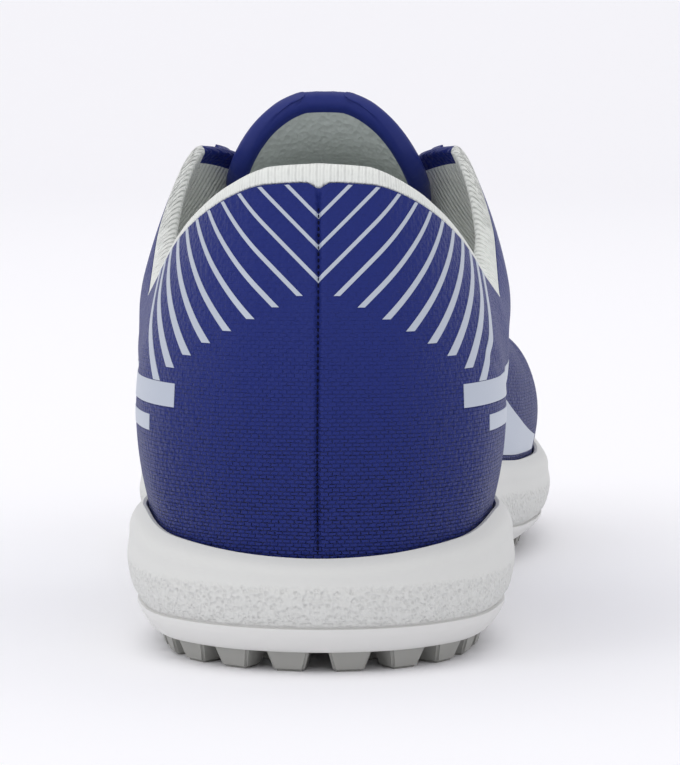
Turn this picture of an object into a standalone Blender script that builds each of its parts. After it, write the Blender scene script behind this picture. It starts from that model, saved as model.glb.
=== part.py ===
"""A left turf shoe: outsole with low studs, foam midsole, hollow upper, tongue, insole and laces.

Metres, +Z up. The toe points along +Y and the big-toe side is +X. The heel's back end of the
sole starts at y = 0 and the finished shoe is then moved so that the middle of its box lies
over the origin, with the studs on z = 0.

Everything that goes round the foot is worked out at a turn u, from 0 at the back of the
heel, along the outer side, to 1 at the toe, and back along the inner side to 2.
"""

import math

import bmesh
import bpy
import numpy as np

# Driving sizes, in metres
SOLE_LENGTH = 0.282
SOLE_WIDTH = 0.096
SOLE_HEIGHT = 0.027
TOE_SPRING = 0.0095
STUD_HEIGHT = 0.0040
COLLAR_HEIGHT = 0.0912
GAP = 0.0003

# Walls and layers
WALL = 0.0018
COLLAR_PAD = 0.0055
LIP_WALL = 0.0040
LIP_EDGE = 0.0012
BAND_INSET = 0.0019
BAND_FOOT_INSET = 0.0048
INSOLE_THICKNESS = 0.0030
CROWN_RADIUS = 0.040
EYESTAY_WIDTH = 0.0135
EYESTAY_THICKNESS = 0.0008
EYESTAY_LIFT = 0.0007

# Tongue
TONGUE_THICKNESS = 0.0042
TONGUE_HALF_WIDTH = 0.0225
TONGUE_STAND = 0.0160
TONGUE_CLEARANCE = 0.0006
TONGUE_ROUNDING = 0.96
TONGUE_ROUND_FROM = 0.80
TONGUE_ROUND_POWER = 2.2
TONGUE_START_WIDTH = 0.50
TONGUE_WIDEN_BY = 0.35
TONGUE_TURN = 38.0
TONGUE_RADIUS_SHARE = 0.82
TONGUE_FLAT_SHARE = 0.80
TONGUE_STEPS = 9
TONGUE_COLUMNS = 11

# Studs
LUG_PITCH = 0.0102
LUG_LENGTH = 0.0090
LUG_DEPTH = 0.0085
LUG_TAPER = 0.64
LUG_NARROWING = 0.72
LUG_INSET = 0.0100
STUD_RADIUS = 0.0046
STUD_PITCH = 0.0165
STUD_MARGIN = 0.0210
STUD_ROOT = 0.0010
STUD_SIDES = 6

# Laces
LACE_WIDTH = 0.0062
LACE_THICKNESS = 0.0016
LACE_LIFT = 0.0012
EYELET_PAIRS = 6
EYELET_FIRST = 0.535
EYELET_LAST = 0.725
EYELET_INSET = 0.0065
LACE_SIDES = 6
LACE_STATIONS = 7

# The sole's outline. Turn 0 is the back of the heel and 1 the toe; along is a share of
# SOLE_LENGTH, and outer and inner are shares of SOLE_WIDTH from the heel's middle line.
OUTLINE_COLUMNS = ("station", "turn", "along", "outer", "inner")
OUTLINE = (
    ("heel back", 0.00, 0.000, 0.000, 0.000),
    ("heel turn", 0.05, 0.013, -0.166, 0.160),
    ("heel corner", 0.11, 0.056, -0.314, 0.298),
    ("heel side", 0.20, 0.145, -0.401, 0.376),
    ("waist", 0.32, 0.290, -0.404, 0.350),
    ("arch", 0.43, 0.420, -0.414, 0.325),
    ("arch front", 0.53, 0.530, -0.452, 0.365),
    ("ball rear", 0.62, 0.625, -0.505, 0.435),
    ("ball", 0.70, 0.710, -0.524, 0.472),
    ("ball front", 0.77, 0.790, -0.505, 0.472),
    ("toe side", 0.84, 0.868, -0.438, 0.440),
    ("toe corner", 0.90, 0.934, -0.328, 0.366),
    ("toe turn", 0.95, 0.981, -0.175, 0.248),
    ("toe tip", 1.00, 1.000, 0.045, 0.045),
)

# The sole's side. Rise is the lift of the studs, a share of TOE_SPRING; seam is the top of
# the outsole's band, lip the midsole's top edge and bed its floor, shares of SOLE_HEIGHT
# above that lift.
SIDE_COLUMNS = ("station", "turn", "rise", "seam", "lip", "bed")
SIDE = (
    ("heel back", 0.00, 0.00, 0.335, 0.805, 0.620),
    ("heel corner", 0.11, 0.00, 0.335, 0.890, 0.620),
    ("heel side", 0.20, 0.00, 0.335, 1.000, 0.620),
    ("waist", 0.32, 0.05, 0.340, 1.000, 0.610),
    ("arch", 0.43, 0.15, 0.340, 0.955, 0.590),
    ("arch front", 0.53, 0.10, 0.320, 0.880, 0.550),
    ("ball rear", 0.62, 0.00, 0.290, 0.830, 0.500),
    ("ball", 0.70, 0.00, 0.275, 0.800, 0.480),
    ("ball front", 0.77, 0.05, 0.275, 0.785, 0.470),
    ("toe side", 0.84, 0.26, 0.280, 0.775, 0.465),
    ("toe corner", 0.90, 0.54, 0.285, 0.770, 0.460),
    ("toe turn", 0.95, 0.82, 0.290, 0.770, 0.460),
    ("toe tip", 1.00, 1.00, 0.290, 0.770, 0.460),
)

# The upper's top edge: collar, eyestay and, past the vamp point, the crest over the toes.
# Along is a share of SOLE_LENGTH, outer and inner are half widths from the foot's axis as
# shares of SOLE_WIDTH, and height is a share of COLLAR_HEIGHT.
TOPLINE_COLUMNS = ("station", "turn", "along", "outer", "inner", "height")
TOPLINE = (
    ("heel back", 0.00, 0.030, 0.000, 0.000, 1.000),
    ("heel turn", 0.05, 0.034, -0.100, 0.100, 0.995),
    ("heel corner", 0.10, 0.055, -0.185, 0.182, 0.962),
    ("heel side", 0.18, 0.115, -0.280, 0.272, 0.878),
    ("ankle", 0.27, 0.192, -0.340, 0.332, 0.778),
    ("ankle dip", 0.35, 0.255, -0.370, 0.366, 0.725),
    ("ankle front", 0.42, 0.320, -0.360, 0.362, 0.840),
    ("corner", 0.48, 0.375, -0.276, 0.284, 1.042),
    ("eyestay top", 0.52, 0.418, -0.206, 0.212, 1.022),
    ("eyestay", 0.61, 0.510, -0.174, 0.176, 0.860),
    ("eyestay low", 0.69, 0.600, -0.145, 0.145, 0.723),
    ("throat end", 0.745, 0.648, -0.095, 0.095, 0.668),
    ("vamp point", 0.77, 0.664, 0.000, 0.000, 0.662),
    ("vamp", 0.84, 0.745, 0.000, 0.000, 0.602),
    ("toe box", 0.90, 0.815, 0.000, 0.000, 0.562),
    ("toe top", 0.95, 0.865, 0.000, 0.000, 0.534),
    ("toe end", 1.00, 0.888, 0.000, 0.000, 0.520),
)

# How the wall runs from the lip to the top edge. Leans are degrees out from upright at the
# lip and out from straight down at the top edge, pulls are shares of the height between
# them, and fan turns the upper end from square to the edge (0) to aimed at the lip (1).
PROFILE_COLUMNS = ("station", "turn", "lean low", "pull low", "lean high", "pull high", "fan")
PROFILE = (
    ("heel back", 0.00, 15.0, 0.36, -5.0, 0.34, 0.0),
    ("heel corner", 0.11, 16.0, 0.38, 6.0, 0.34, 0.0),
    ("heel side", 0.20, 15.0, 0.42, 18.0, 0.34, 0.0),
    ("ankle", 0.32, 14.0, 0.45, 18.0, 0.34, 0.0),
    ("ankle front", 0.42, 14.0, 0.45, 26.0, 0.34, 0.2),
    ("corner", 0.48, 14.0, 0.42, 54.0, 0.36, 0.6),
    ("eyestay top", 0.52, 12.0, 0.40, 62.0, 0.40, 1.0),
    ("eyestay", 0.61, 14.0, 0.40, 67.0, 0.44, 1.0),
    ("eyestay low", 0.69, 15.0, 0.44, 72.0, 0.46, 1.0),
    ("vamp point", 0.77, 13.0, 0.43, 90.0, 0.46, 1.0),
    ("toe box", 0.90, 12.0, 0.40, 90.0, 0.46, 1.0),
    ("toe end", 1.00, 14.0, 0.42, 90.0, 0.46, 1.0),
)

# The foot's axis bends: across is a share of SOLE_WIDTH, at a share of SOLE_LENGTH.
AXIS_COLUMNS = ("along", "across")
AXIS = ((0.0, 0.000), (0.20, -0.012), (0.40, -0.030), (0.66, 0.000), (0.90, 0.035), (1.0, 0.04))

TURNS_PER_SIDE = 36
WALL_ROWS = 12
BED_STRIPS = 4
VAMP_TURN = 0.77
CORNER_TURN = 0.48
EYESTAY_START = 0.50
EYESTAY_NOSE = 0.030
EYESTAY_CLOSING = 0.98
EYESTAY_ROWS = 4
ARC_OVER_CHORD = 1.12
RIM_ANGLES = (45.0, 90.0, 135.0)


def column(table, names, name):
    """One named column of a table as an array."""
    place = names.index(name)
    return np.array([row[place] for row in table], float)


def slopes_between(knots, values, round_curve):
    """A slope at each inner knot: rounded through it, or flat wherever the values turn."""
    steps = np.diff(knots)
    rates = np.diff(values) / steps
    before, after = rates[:-1], rates[1:]
    if round_curve:
        return (steps[1:] * before + steps[:-1] * after) / (steps[:-1] + steps[1:])
    rising = before * after > 0
    total = np.where(rising, before + after, 1.0)
    return np.where(rising, 2.0 * before * after / total, 0.0)


def curve_at(knots, values, slopes, at):
    """The cubic curve through knots with given slopes."""
    place = np.clip(np.searchsorted(knots, at, side="right") - 1, 0, len(knots) - 2)
    step = knots[place + 1] - knots[place]
    share = (at - knots[place]) / step
    start, end = values[place], values[place + 1]
    return (
        start * (1 + 2 * share) * (1 - share) ** 2
        + slopes[place] * step * share * (1 - share) ** 2
        + end * share**2 * (3 - 2 * share)
        - slopes[place + 1] * step * share**2 * (1 - share)
    )


def around(table, names, outer, inner, at, round_curve=False):
    """A quantity all round the shoe at turns 0 to 2, from an outer and an inner column."""
    turn = column(table, names, "turn")
    first, second = column(table, names, outer), column(table, names, inner)
    knots = np.concatenate([turn, 2.0 - turn[-2::-1]])
    values = np.concatenate([first, second[-2::-1]])
    long_knots = np.concatenate([[knots[-2] - 2.0], knots, [knots[1] + 2.0]])
    long_values = np.concatenate([[values[-2]], values, [values[1]]])
    slopes = slopes_between(long_knots, long_values, round_curve)
    return curve_at(knots, values, slopes, np.mod(at, 2.0))


def axis_x(y):
    """Sideways place of the foot's axis at a length y."""
    along, across = column(AXIS, AXIS_COLUMNS, "along"), column(AXIS, AXIS_COLUMNS, "across")
    inner = slopes_between(along, across, True)
    slopes = np.concatenate([[0.0], inner, [0.0]])
    share = np.clip(y / SOLE_LENGTH, along[0], along[-1])
    return curve_at(along, across, slopes, share) * SOLE_WIDTH


def outline(at):
    """The sole's widest outline in plan."""
    x = around(OUTLINE, OUTLINE_COLUMNS, "outer", "inner", at, True) * SOLE_WIDTH
    y = around(OUTLINE, OUTLINE_COLUMNS, "along", "along", at, True) * SOLE_LENGTH
    return np.stack([x, y], -1)


def unit(vectors):
    lengths = np.linalg.norm(vectors, axis=-1, keepdims=True)
    return vectors / np.maximum(lengths, 1e-12)


def outward(curve, at):
    """The direction square to a closed plan curve, pointing out."""
    small = 1e-4
    run = curve(at + small) - curve(at - small)
    return unit(np.stack([-run[..., 1], run[..., 0]], -1))


def inset_outline(at, inset):
    return outline(at) - outward(outline, at) * np.asarray(inset)[..., None]


def side_height(name, at):
    """A height on the sole's side above the floor, with the toe spring in it."""
    rise = around(SIDE, SIDE_COLUMNS, "rise", "rise", at) * TOE_SPRING
    if name == "rise":
        return rise
    return rise + around(SIDE, SIDE_COLUMNS, name, name, at) * SOLE_HEIGHT


def ring(at, inset, z):
    """A closed ring of points at an inset from the sole's outline."""
    plan = inset_outline(at, np.full(len(at), inset))
    return np.column_stack([plan, z])


def topline(at):
    """The upper's top edge."""
    y = around(TOPLINE, TOPLINE_COLUMNS, "along", "along", at) * SOLE_LENGTH
    half = around(TOPLINE, TOPLINE_COLUMNS, "outer", "inner", at) * SOLE_WIDTH
    z = around(TOPLINE, TOPLINE_COLUMNS, "height", "height", at) * COLLAR_HEIGHT
    return np.stack([axis_x(y) + half, y, z], -1), half


def crest_slope(at):
    """Rise of the top edge for each step forward, kept from its end at the toe."""
    side = np.minimum(np.mod(at, 2.0), 2.0 - np.mod(at, 2.0))
    side = np.clip(side, 0.55, 0.97)
    ahead, behind = topline(side + 0.01)[0], topline(side - 0.01)[0]
    return (ahead[..., 2] - behind[..., 2]) / (ahead[..., 1] - behind[..., 1])


def upper_surface(at, share):
    """The upper's outer face. share runs from 0 at the midsole's lip to 1 at the top edge."""
    foot_plan = inset_outline(at, np.full(at.shape, LIP_WALL + GAP))
    foot = np.concatenate([foot_plan, side_height("lip", at)[..., None]], -1)
    top, half = topline(at)
    up = np.array([0.0, 0.0, 1.0])
    span = np.linalg.norm(top - foot, axis=-1)[..., None]

    def profile(name):
        return around(PROFILE, PROFILE_COLUMNS, name, name, at)[..., None]

    out_low = np.concatenate([outward(outline, at), np.zeros(at.shape + (1,))], -1)
    lean_low = np.radians(profile("lean low"))
    low = foot + profile("pull low") * span * (np.sin(lean_low) * out_low + np.cos(lean_low) * up)
    square = outward(lambda turn: topline(turn)[0][..., :2], at)
    aimed = unit((foot - top)[..., :2])
    flat = unit(square * (1 - profile("fan")) + aimed * profile("fan"))
    lean_high = np.radians(profile("lean high"))
    climb = crest_slope(at)[..., None] * flat[..., 1:] * profile("fan")
    out_high = np.concatenate([flat, climb], -1)
    high = top + profile("pull high") * span * (np.sin(lean_high) * out_high - np.cos(lean_high) * up)
    s = np.asarray(share)[..., None]
    return foot * (1 - s) ** 3 + low * 3 * s * (1 - s) ** 2 + high * 3 * s**2 * (1 - s) + top * s**3


def upper_normal(at, share):
    """The direction out of the upper's outer face."""
    small = 1e-3
    share = np.asarray(share, float)
    below, above = np.clip(share - small, 0, 1), np.clip(share + small, 0, 1)
    climb = upper_surface(at, above) - upper_surface(at, below)
    run = upper_surface(at + small, share) - upper_surface(at - small, share)
    normal = unit(np.cross(climb, run))
    side = np.minimum(np.mod(at, 2.0), 2.0 - np.mod(at, 2.0))
    slope = crest_slope(at)
    crest = unit(np.stack([np.zeros_like(slope), -slope, np.ones_like(slope)], -1))
    on_crest = (side >= VAMP_TURN - 1e-6) & (share > 1 - 1e-6)
    return np.where(on_crest[..., None], crest, normal)


def ease(value, start, end):
    """0 before start, 1 after end, smooth between."""
    share = np.clip((value - start) / (end - start), 0.0, 1.0)
    return share * share * (3 - 2 * share)


def wall_thickness(at, share):
    side = np.minimum(np.mod(at, 2.0), 2.0 - np.mod(at, 2.0))
    padded = (1 - ease(side, CORNER_TURN - 0.10, CORNER_TURN + 0.01)) * ease(share, 0.45, 0.90)
    return WALL + (COLLAR_PAD - WALL) * padded


def turns():
    """Turns of the columns round the whole shoe. The vamp point is one of them."""
    behind = np.linspace(0.0, VAMP_TURN, round(TURNS_PER_SIDE * 0.76) + 1)
    ahead = np.linspace(VAMP_TURN, 1.0, TURNS_PER_SIDE - len(behind) + 2)[1:]
    outer = np.concatenate([behind, ahead])
    return np.concatenate([outer, 2.0 - outer[-2:0:-1]])


def new_object(name, points, faces, color, roughness, collection):
    """A closed mesh object with its own material, doubles merged and faces pointing out."""
    mesh = bpy.data.meshes.new(name)
    mesh.from_pydata([tuple(point) for point in points], [], faces)
    shape = bmesh.new()
    shape.from_mesh(mesh)
    bmesh.ops.remove_doubles(shape, verts=shape.verts, dist=1e-6)
    bmesh.ops.dissolve_degenerate(shape, edges=shape.edges, dist=1e-6)
    bmesh.ops.recalc_face_normals(shape, faces=shape.faces)
    shape.to_mesh(mesh)
    shape.free()
    mesh.shade_smooth()
    mesh.set_sharp_from_angle(angle=math.radians(40))
    made = bpy.data.objects.new(name, mesh)
    collection.objects.link(made)
    material = bpy.data.materials.new(name)
    material.use_nodes = True
    shader = material.node_tree.nodes["Principled BSDF"]
    shader.inputs["Base Color"].default_value = (*color, 1.0)
    shader.inputs["Roughness"].default_value = roughness
    mesh.materials.append(material)
    return made


def ring_faces(count, rings, first=0):
    """Quads between rings of count points that follow each other in the point list."""
    faces = []
    for level in range(rings - 1):
        for place in range(count):
            beside = (place + 1) % count
            low, high = first + level * count, first + (level + 1) * count
            faces.append((low + place, low + beside, high + beside, high + place))
    return faces


def cap(points, faces, first, count):
    """Fills a closed ring with strips from its outer to its inner side, crosswise."""
    half = count // 2
    rows = []
    for place in range(1, half):
        left, right = first + place, first + count - place
        row = [left]
        for strip in range(1, BED_STRIPS):
            share = strip / BED_STRIPS
            points.append(points[left] * (1 - share) + points[right] * share)
            row.append(len(points) - 1)
        row.append(right)
        rows.append(row)
    for near, far in zip(rows, rows[1:]):
        for strip in range(BED_STRIPS):
            faces.append((near[strip], near[strip + 1], far[strip + 1]))
            faces.append((near[strip], far[strip + 1], far[strip]))
    for end, row in ((first, rows[0]), (first + half, rows[-1])):
        for strip in range(BED_STRIPS):
            faces.append((end, row[strip], row[strip + 1]))


def ring_solid(name, rings, color, roughness, collection):
    """A solid whose side is a stack of rings, closed by a bottom and a top cap."""
    count = len(rings[0])
    points = [point for one in rings for point in one]
    faces = ring_faces(count, len(rings))
    cap(points, faces, 0, count)
    cap(points, faces, (len(rings) - 1) * count, count)
    return new_object(name, points, faces, color, roughness, collection)


def make_midsole(collection):
    at = turns()
    seam, lip, bed = (side_height(name, at) for name in ("seam", "lip", "bed"))
    wall = lip - seam
    rings = [
        ring(at, BAND_INSET, seam + GAP / 2),
        ring(at, BAND_INSET * 0.35, seam + 0.20 * wall),
        ring(at, 0.0, seam + 0.42 * wall),
        ring(at, BAND_INSET * 0.40, seam + 0.70 * wall),
        ring(at, LIP_WALL - LIP_EDGE * 1.6, seam + 0.95 * wall),
        ring(at, LIP_WALL - LIP_EDGE * 0.8, lip),
        ring(at, LIP_WALL, lip - LIP_EDGE * 0.5),
        ring(at, LIP_WALL, bed),
    ]
    return ring_solid("midsole", rings, (0.62, 0.62, 0.60), 0.7, collection)


def stud_mesh(center, tangent, out, z_top, z_foot, length, depth, round_stud):
    """Points and faces of one stud: a tapered block, or a round tapered peg."""
    if round_stud:
        angles = np.radians(np.arange(STUD_SIDES) * 360.0 / STUD_SIDES)
        corners = np.stack([np.cos(angles), np.sin(angles)], -1) * length
    else:
        near = LUG_NARROWING
        corners = np.array([[-near, -1], [near, -1], [1, 1], [-1, 1]]) * np.array([length, depth]) / 2
    count = len(corners)
    frame = np.stack([tangent, out])
    levels = []
    for z, scale in ((z_top, 1.0), (z_foot, LUG_TAPER)):
        plan = center + (corners * scale) @ frame
        levels.append(np.column_stack([plan, np.full(count, z)]))
    faces = ring_faces(count, 2)
    faces.append(tuple(range(count)))
    faces.append(tuple(range(2 * count - 1, count - 1, -1)))
    return np.concatenate(levels), faces


def lug_places():
    """Centres, tangents and turns of the studs along the rim, evenly spaced."""
    fine = np.linspace(0.0, 2.0, 2001)
    path = inset_outline(fine, np.full(len(fine), LUG_INSET))
    length = np.concatenate([[0.0], np.cumsum(np.linalg.norm(np.diff(path, axis=0), axis=1))])
    count = round(length[-1] / LUG_PITCH)
    return np.interp((np.arange(count) + 0.5) * length[-1] / count, length, fine)


def width_at(y, inset):
    """The inset outline's outer and inner x at a length y."""
    fine = np.linspace(0.0, 2.0, 801)
    path = inset_outline(fine, np.full(len(fine), inset))
    outer, inner = path[:401], path[400:][::-1]
    order = np.argsort(outer[:, 1]), np.argsort(inner[:, 1])
    left = np.interp(y, outer[order[0], 1], outer[order[0], 0])
    right = np.interp(y, inner[order[1], 1], inner[order[1], 0])
    return left, right


def rise_at(y):
    """The lift of the sole's underside at a length y."""
    turn = np.linspace(0.0, 1.0, 401)
    length = inset_outline(turn, np.full(len(turn), BAND_FOOT_INSET))[:, 1]
    return float(np.interp(y, length, side_height("rise", turn)))


def make_outsole(collection, cutters):
    at = turns()
    rise, seam = side_height("rise", at), side_height("seam", at)
    foot = rise + STUD_HEIGHT
    band = seam - GAP / 2 - foot
    rings = [
        ring(at, BAND_FOOT_INSET, foot),
        ring(at, BAND_FOOT_INSET * 0.80, foot + 0.15 * band),
        ring(at, BAND_INSET, foot + band),
    ]
    plate = ring_solid("outsole", rings, (0.75, 0.76, 0.76), 0.5, collection)

    shapes = []
    for turn in lug_places():
        one = np.array([turn])
        out = outward(outline, one)[0]
        center = inset_outline(one, np.array([LUG_INSET]))[0]
        z_foot = rise_at(center[1])
        z_top = z_foot + STUD_HEIGHT + STUD_ROOT
        tangent = np.array([out[1], -out[0]])
        shapes.append(stud_mesh(center, tangent, out, z_top, z_foot, LUG_LENGTH, LUG_DEPTH, False))
    rows = int(SOLE_LENGTH / STUD_PITCH)
    for row in range(rows):
        y = (row + 0.5) * SOLE_LENGTH / rows
        left, right = width_at(y, STUD_MARGIN)
        room = right - left
        if room < 0 or y < STUD_MARGIN or y > SOLE_LENGTH - STUD_MARGIN:
            continue
        count = int(room / STUD_PITCH) + 1
        z_foot = rise_at(y)
        z_top = z_foot + STUD_HEIGHT + STUD_ROOT
        for place in range(count):
            x = (left + right) / 2 + (place - (count - 1) / 2) * STUD_PITCH
            center = np.array([x, y])
            tangent, out = np.array([1.0, 0.0]), np.array([0.0, 1.0])
            shapes.append(stud_mesh(center, tangent, out, z_top, z_foot, STUD_RADIUS, 0.0, True))
    points, faces = [], []
    for shape_points, shape_faces in shapes:
        first = len(points)
        points.extend(shape_points)
        faces.extend(tuple(first + corner for corner in face) for face in shape_faces)
    studs = new_object("stud_set", points, faces, (0.5, 0.5, 0.5), 0.5, cutters)
    studs.hide_render = True
    studs.display_type = "WIRE"
    join = plate.modifiers.new("studs", "BOOLEAN")
    join.operation = "UNION"
    join.solver = "EXACT"
    join.object = studs
    return plate


def make_upper(collection):
    at = turns()
    side = np.minimum(at, 2.0 - at)
    shares = np.linspace(0.0, 1.0, WALL_ROWS)
    outer, inner = [], []
    bed = side_height("bed", at) + GAP
    skirt_out = inset_outline(at, np.full(len(at), LIP_WALL + GAP))
    skirt_in = inset_outline(at, np.full(len(at), LIP_WALL + GAP + WALL))
    outer.append(np.column_stack([skirt_out, bed]))
    inner.append(np.column_stack([skirt_in, bed]))
    for share in shares:
        level = np.full(len(at), share)
        face = upper_surface(at, level)
        normal = upper_normal(at, level)
        if share == 0.0:
            normal = np.column_stack([outward(outline, at), np.zeros(len(at))])
        outer.append(face)
        inner.append(face - normal * wall_thickness(at, level)[:, None])
    half = np.abs(topline(at)[1])
    beyond = unit(outer[-1] - outer[-2])
    rounding = np.linalg.norm(outer[-1] - inner[-1], axis=1) / 2
    rounding = np.where(side > CORNER_TURN, np.minimum(rounding, half / 2), rounding)
    middle = (outer[-1] + inner[-1]) / 2
    rim = []
    for angle in np.radians(RIM_ANGLES):
        swing = (outer[-1] - middle) * math.cos(angle)
        rim.append(middle + swing + beyond * (rounding * math.sin(angle))[:, None])

    count = len(at)
    levels = outer + rim + inner[::-1]
    points = [point for level in levels for point in level]
    rim_first = len(outer) - 1
    rim_last = len(outer) + len(rim)
    faces = []
    for level in range(len(levels)):
        following = (level + 1) % len(levels)
        on_rim = rim_first <= level < rim_last
        for place in range(count):
            beside = (place + 1) % count
            middle_turn = (min(side[place], side[beside]) + max(side[place], side[beside])) / 2
            if on_rim and middle_turn > VAMP_TURN:
                continue
            faces.append(
                (
                    level * count + place,
                    level * count + beside,
                    following * count + beside,
                    following * count + place,
                )
            )
    return new_object("upper", points, faces, (0.02, 0.025, 0.20), 0.55, collection)


def make_eyestay(collection):
    """The overlay round the throat: one U from corner to corner, past the vamp point."""
    at = turns()
    behind = at[(at > EYESTAY_START) & (at < VAMP_TURN + 1e-9)]
    ahead = at[(at > VAMP_TURN + 1e-9) & (at < VAMP_TURN + EYESTAY_NOSE)]
    side = np.concatenate([behind, ahead, [VAMP_TURN + EYESTAY_NOSE]])
    rows, count = EYESTAY_ROWS, len(side)
    points, faces = [], []
    for at in (side, 2.0 - side):
        foot, top = upper_surface(at, np.zeros(count)), upper_surface(at, np.ones(count))
        length = np.linalg.norm(top - foot, axis=1) * ARC_OVER_CHORD
        closing = np.clip((side - VAMP_TURN) / EYESTAY_NOSE / 2 + 0.5, 0.0, 1.0)
        low = 1 - EYESTAY_WIDTH * np.sqrt(1 - EYESTAY_CLOSING * closing**2) / length
        near, far = [], []
        for step in np.linspace(0.0, 1.0, rows):
            level = low + (1 - low) * step
            face, normal = upper_surface(at, level), upper_normal(at, level)
            near.append(face + normal * EYESTAY_LIFT)
            far.append(face + normal * (EYESTAY_LIFT + EYESTAY_THICKNESS))
        first = len(points)
        levels = near + far[::-1]
        points.extend(point for level in levels for point in level)
        for level in range(2 * rows):
            following = (level + 1) % (2 * rows)
            for place in range(count - 1):
                if level == rows - 1 and place >= len(behind) - 1:
                    continue
                low_row, high_row = first + level * count, first + following * count
                faces.append(
                    (low_row + place, low_row + place + 1, high_row + place + 1, high_row + place)
                )
        for place in (0, count - 1):
            for row in range(rows - 1):
                mate = 2 * rows - 1 - row
                corners = (row, row + 1, mate - 1, mate)
                faces.append(tuple(first + corner * count + place for corner in corners))
    return new_object("eyestay", points, faces, (0.02, 0.025, 0.20), 0.5, collection)


def eyelet(pair, inner):
    """The place of one lace hole on the eyestay, and the direction out of it."""
    side = EYELET_FIRST + (EYELET_LAST - EYELET_FIRST) * pair / (EYELET_PAIRS - 1)
    at = np.array([2.0 - side if inner else side])
    foot, top = upper_surface(at, np.zeros(1)), upper_surface(at, np.ones(1))
    length = np.linalg.norm(top - foot, axis=1) * ARC_OVER_CHORD
    share = 1 - EYELET_INSET / length
    return upper_surface(at, share)[0], upper_normal(at, share)[0]


def lace_run(start, start_out, end, end_out, over):
    """A flat lace from one hole over the crown of the throat to another, under or over others."""
    lift = GAP + EYESTAY_THICKNESS + LACE_LIFT + LACE_THICKNESS * (0.5 + 0.2 * over)
    out = unit(start_out + end_out)
    start = start - unit(end - start) * LACE_WIDTH * (0.10 + 0.07 * over)
    end = end + unit(end - start) * LACE_WIDTH * (0.16 + 0.07 * over)
    rise = (np.linalg.norm(end - start) / 2) ** 2 / (2 * CROWN_RADIUS)
    run = unit(end - start)
    section = np.radians(np.arange(LACE_SIDES) * 360.0 / LACE_SIDES)
    levels = []
    for share in np.linspace(0.0, 1.0, LACE_STATIONS):
        lean = start_out * (1 - share) + end_out * share
        up = unit(lean + out * 4 * share * (1 - share))
        center = start + (end - start) * share + up * lift + out * rise * 4 * share * (1 - share)
        wide = unit(np.cross(up, run))
        flat = np.outer(np.cos(section) * LACE_WIDTH / 2, wide)
        tall = np.outer(np.sin(section) * LACE_THICKNESS / 2, up)
        levels.append(center + flat + tall)
    points = [point for level in levels for point in level]
    faces = ring_faces(LACE_SIDES, LACE_STATIONS)
    faces.append(tuple(range(LACE_SIDES)))
    faces.append(tuple(range(len(points) - 1, len(points) - 1 - LACE_SIDES, -1)))
    return points, faces


def make_laces(collection, cutters):
    """The lace's bar and crossings over the throat, joined where they meet."""
    runs = [lace_run(*eyelet(EYELET_PAIRS - 1, False), *eyelet(EYELET_PAIRS - 1, True), -1)]
    for pair in range(EYELET_PAIRS - 1):
        for inner in (False, True):
            runs.append(lace_run(*eyelet(pair, inner), *eyelet(pair + 1, not inner), int(inner)))
    bar = new_object("laces", *runs[0], (0.8, 0.8, 0.8), 0.9, collection)
    for number, run in enumerate(runs[1:]):
        crossing = new_object(f"lace_crossing_{number}", *run, (0.8, 0.8, 0.8), 0.9, cutters)
        crossing.hide_render = True
        crossing.display_type = "WIRE"
        join = bar.modifiers.new(f"crossing {number}", "BOOLEAN")
        join.operation = "UNION"
        join.solver = "EXACT"
        join.object = crossing
    return bar


def crest_point(side):
    """The middle of the throat on the crown over its two edges."""
    edge, half = topline(side)
    lifted = edge.copy()
    lifted[..., 0] = axis_x(edge[..., 1])
    lifted[..., 2] += half**2 / (2 * CROWN_RADIUS)
    return lifted


def tongue_line():
    """The tongue's middle line, from under the vamp to its free top, with its half widths."""
    inside = np.linspace(VAMP_TURN + 0.035, CORNER_TURN + 0.03, 13)
    under = crest_point(inside)
    slope = crest_slope(inside)
    normal = unit(np.stack([np.zeros_like(slope), -slope, np.ones_like(slope)], -1))
    line = under - normal * (WALL + GAP + TONGUE_CLEARANCE)
    direction = unit(line[-1] - line[-2])
    tilt = math.atan2(direction[2], -direction[1])
    free = [line[-1]]
    for step in range(1, TONGUE_STEPS + 1):
        tilt_here = tilt + math.radians(TONGUE_TURN) * step / TONGUE_STEPS
        move = np.array([0.0, -math.cos(tilt_here), math.sin(tilt_here)]) * TONGUE_STAND / TONGUE_STEPS
        free.append(free[-1] + move)
    line = np.concatenate([line, free[1:]])
    length = np.concatenate([[0.0], np.cumsum(np.linalg.norm(np.diff(line, axis=0), axis=1))])
    length = length / length[-1]
    widening = ease(length, 0.0, TONGUE_WIDEN_BY)
    half = TONGUE_HALF_WIDTH * (TONGUE_START_WIDTH + (1 - TONGUE_START_WIDTH) * widening)
    past = np.clip((length - TONGUE_ROUND_FROM) / (1 - TONGUE_ROUND_FROM), 0.0, 1.0)
    half = half * np.sqrt(1 - TONGUE_ROUNDING * past**TONGUE_ROUND_POWER)
    return line, half


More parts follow.
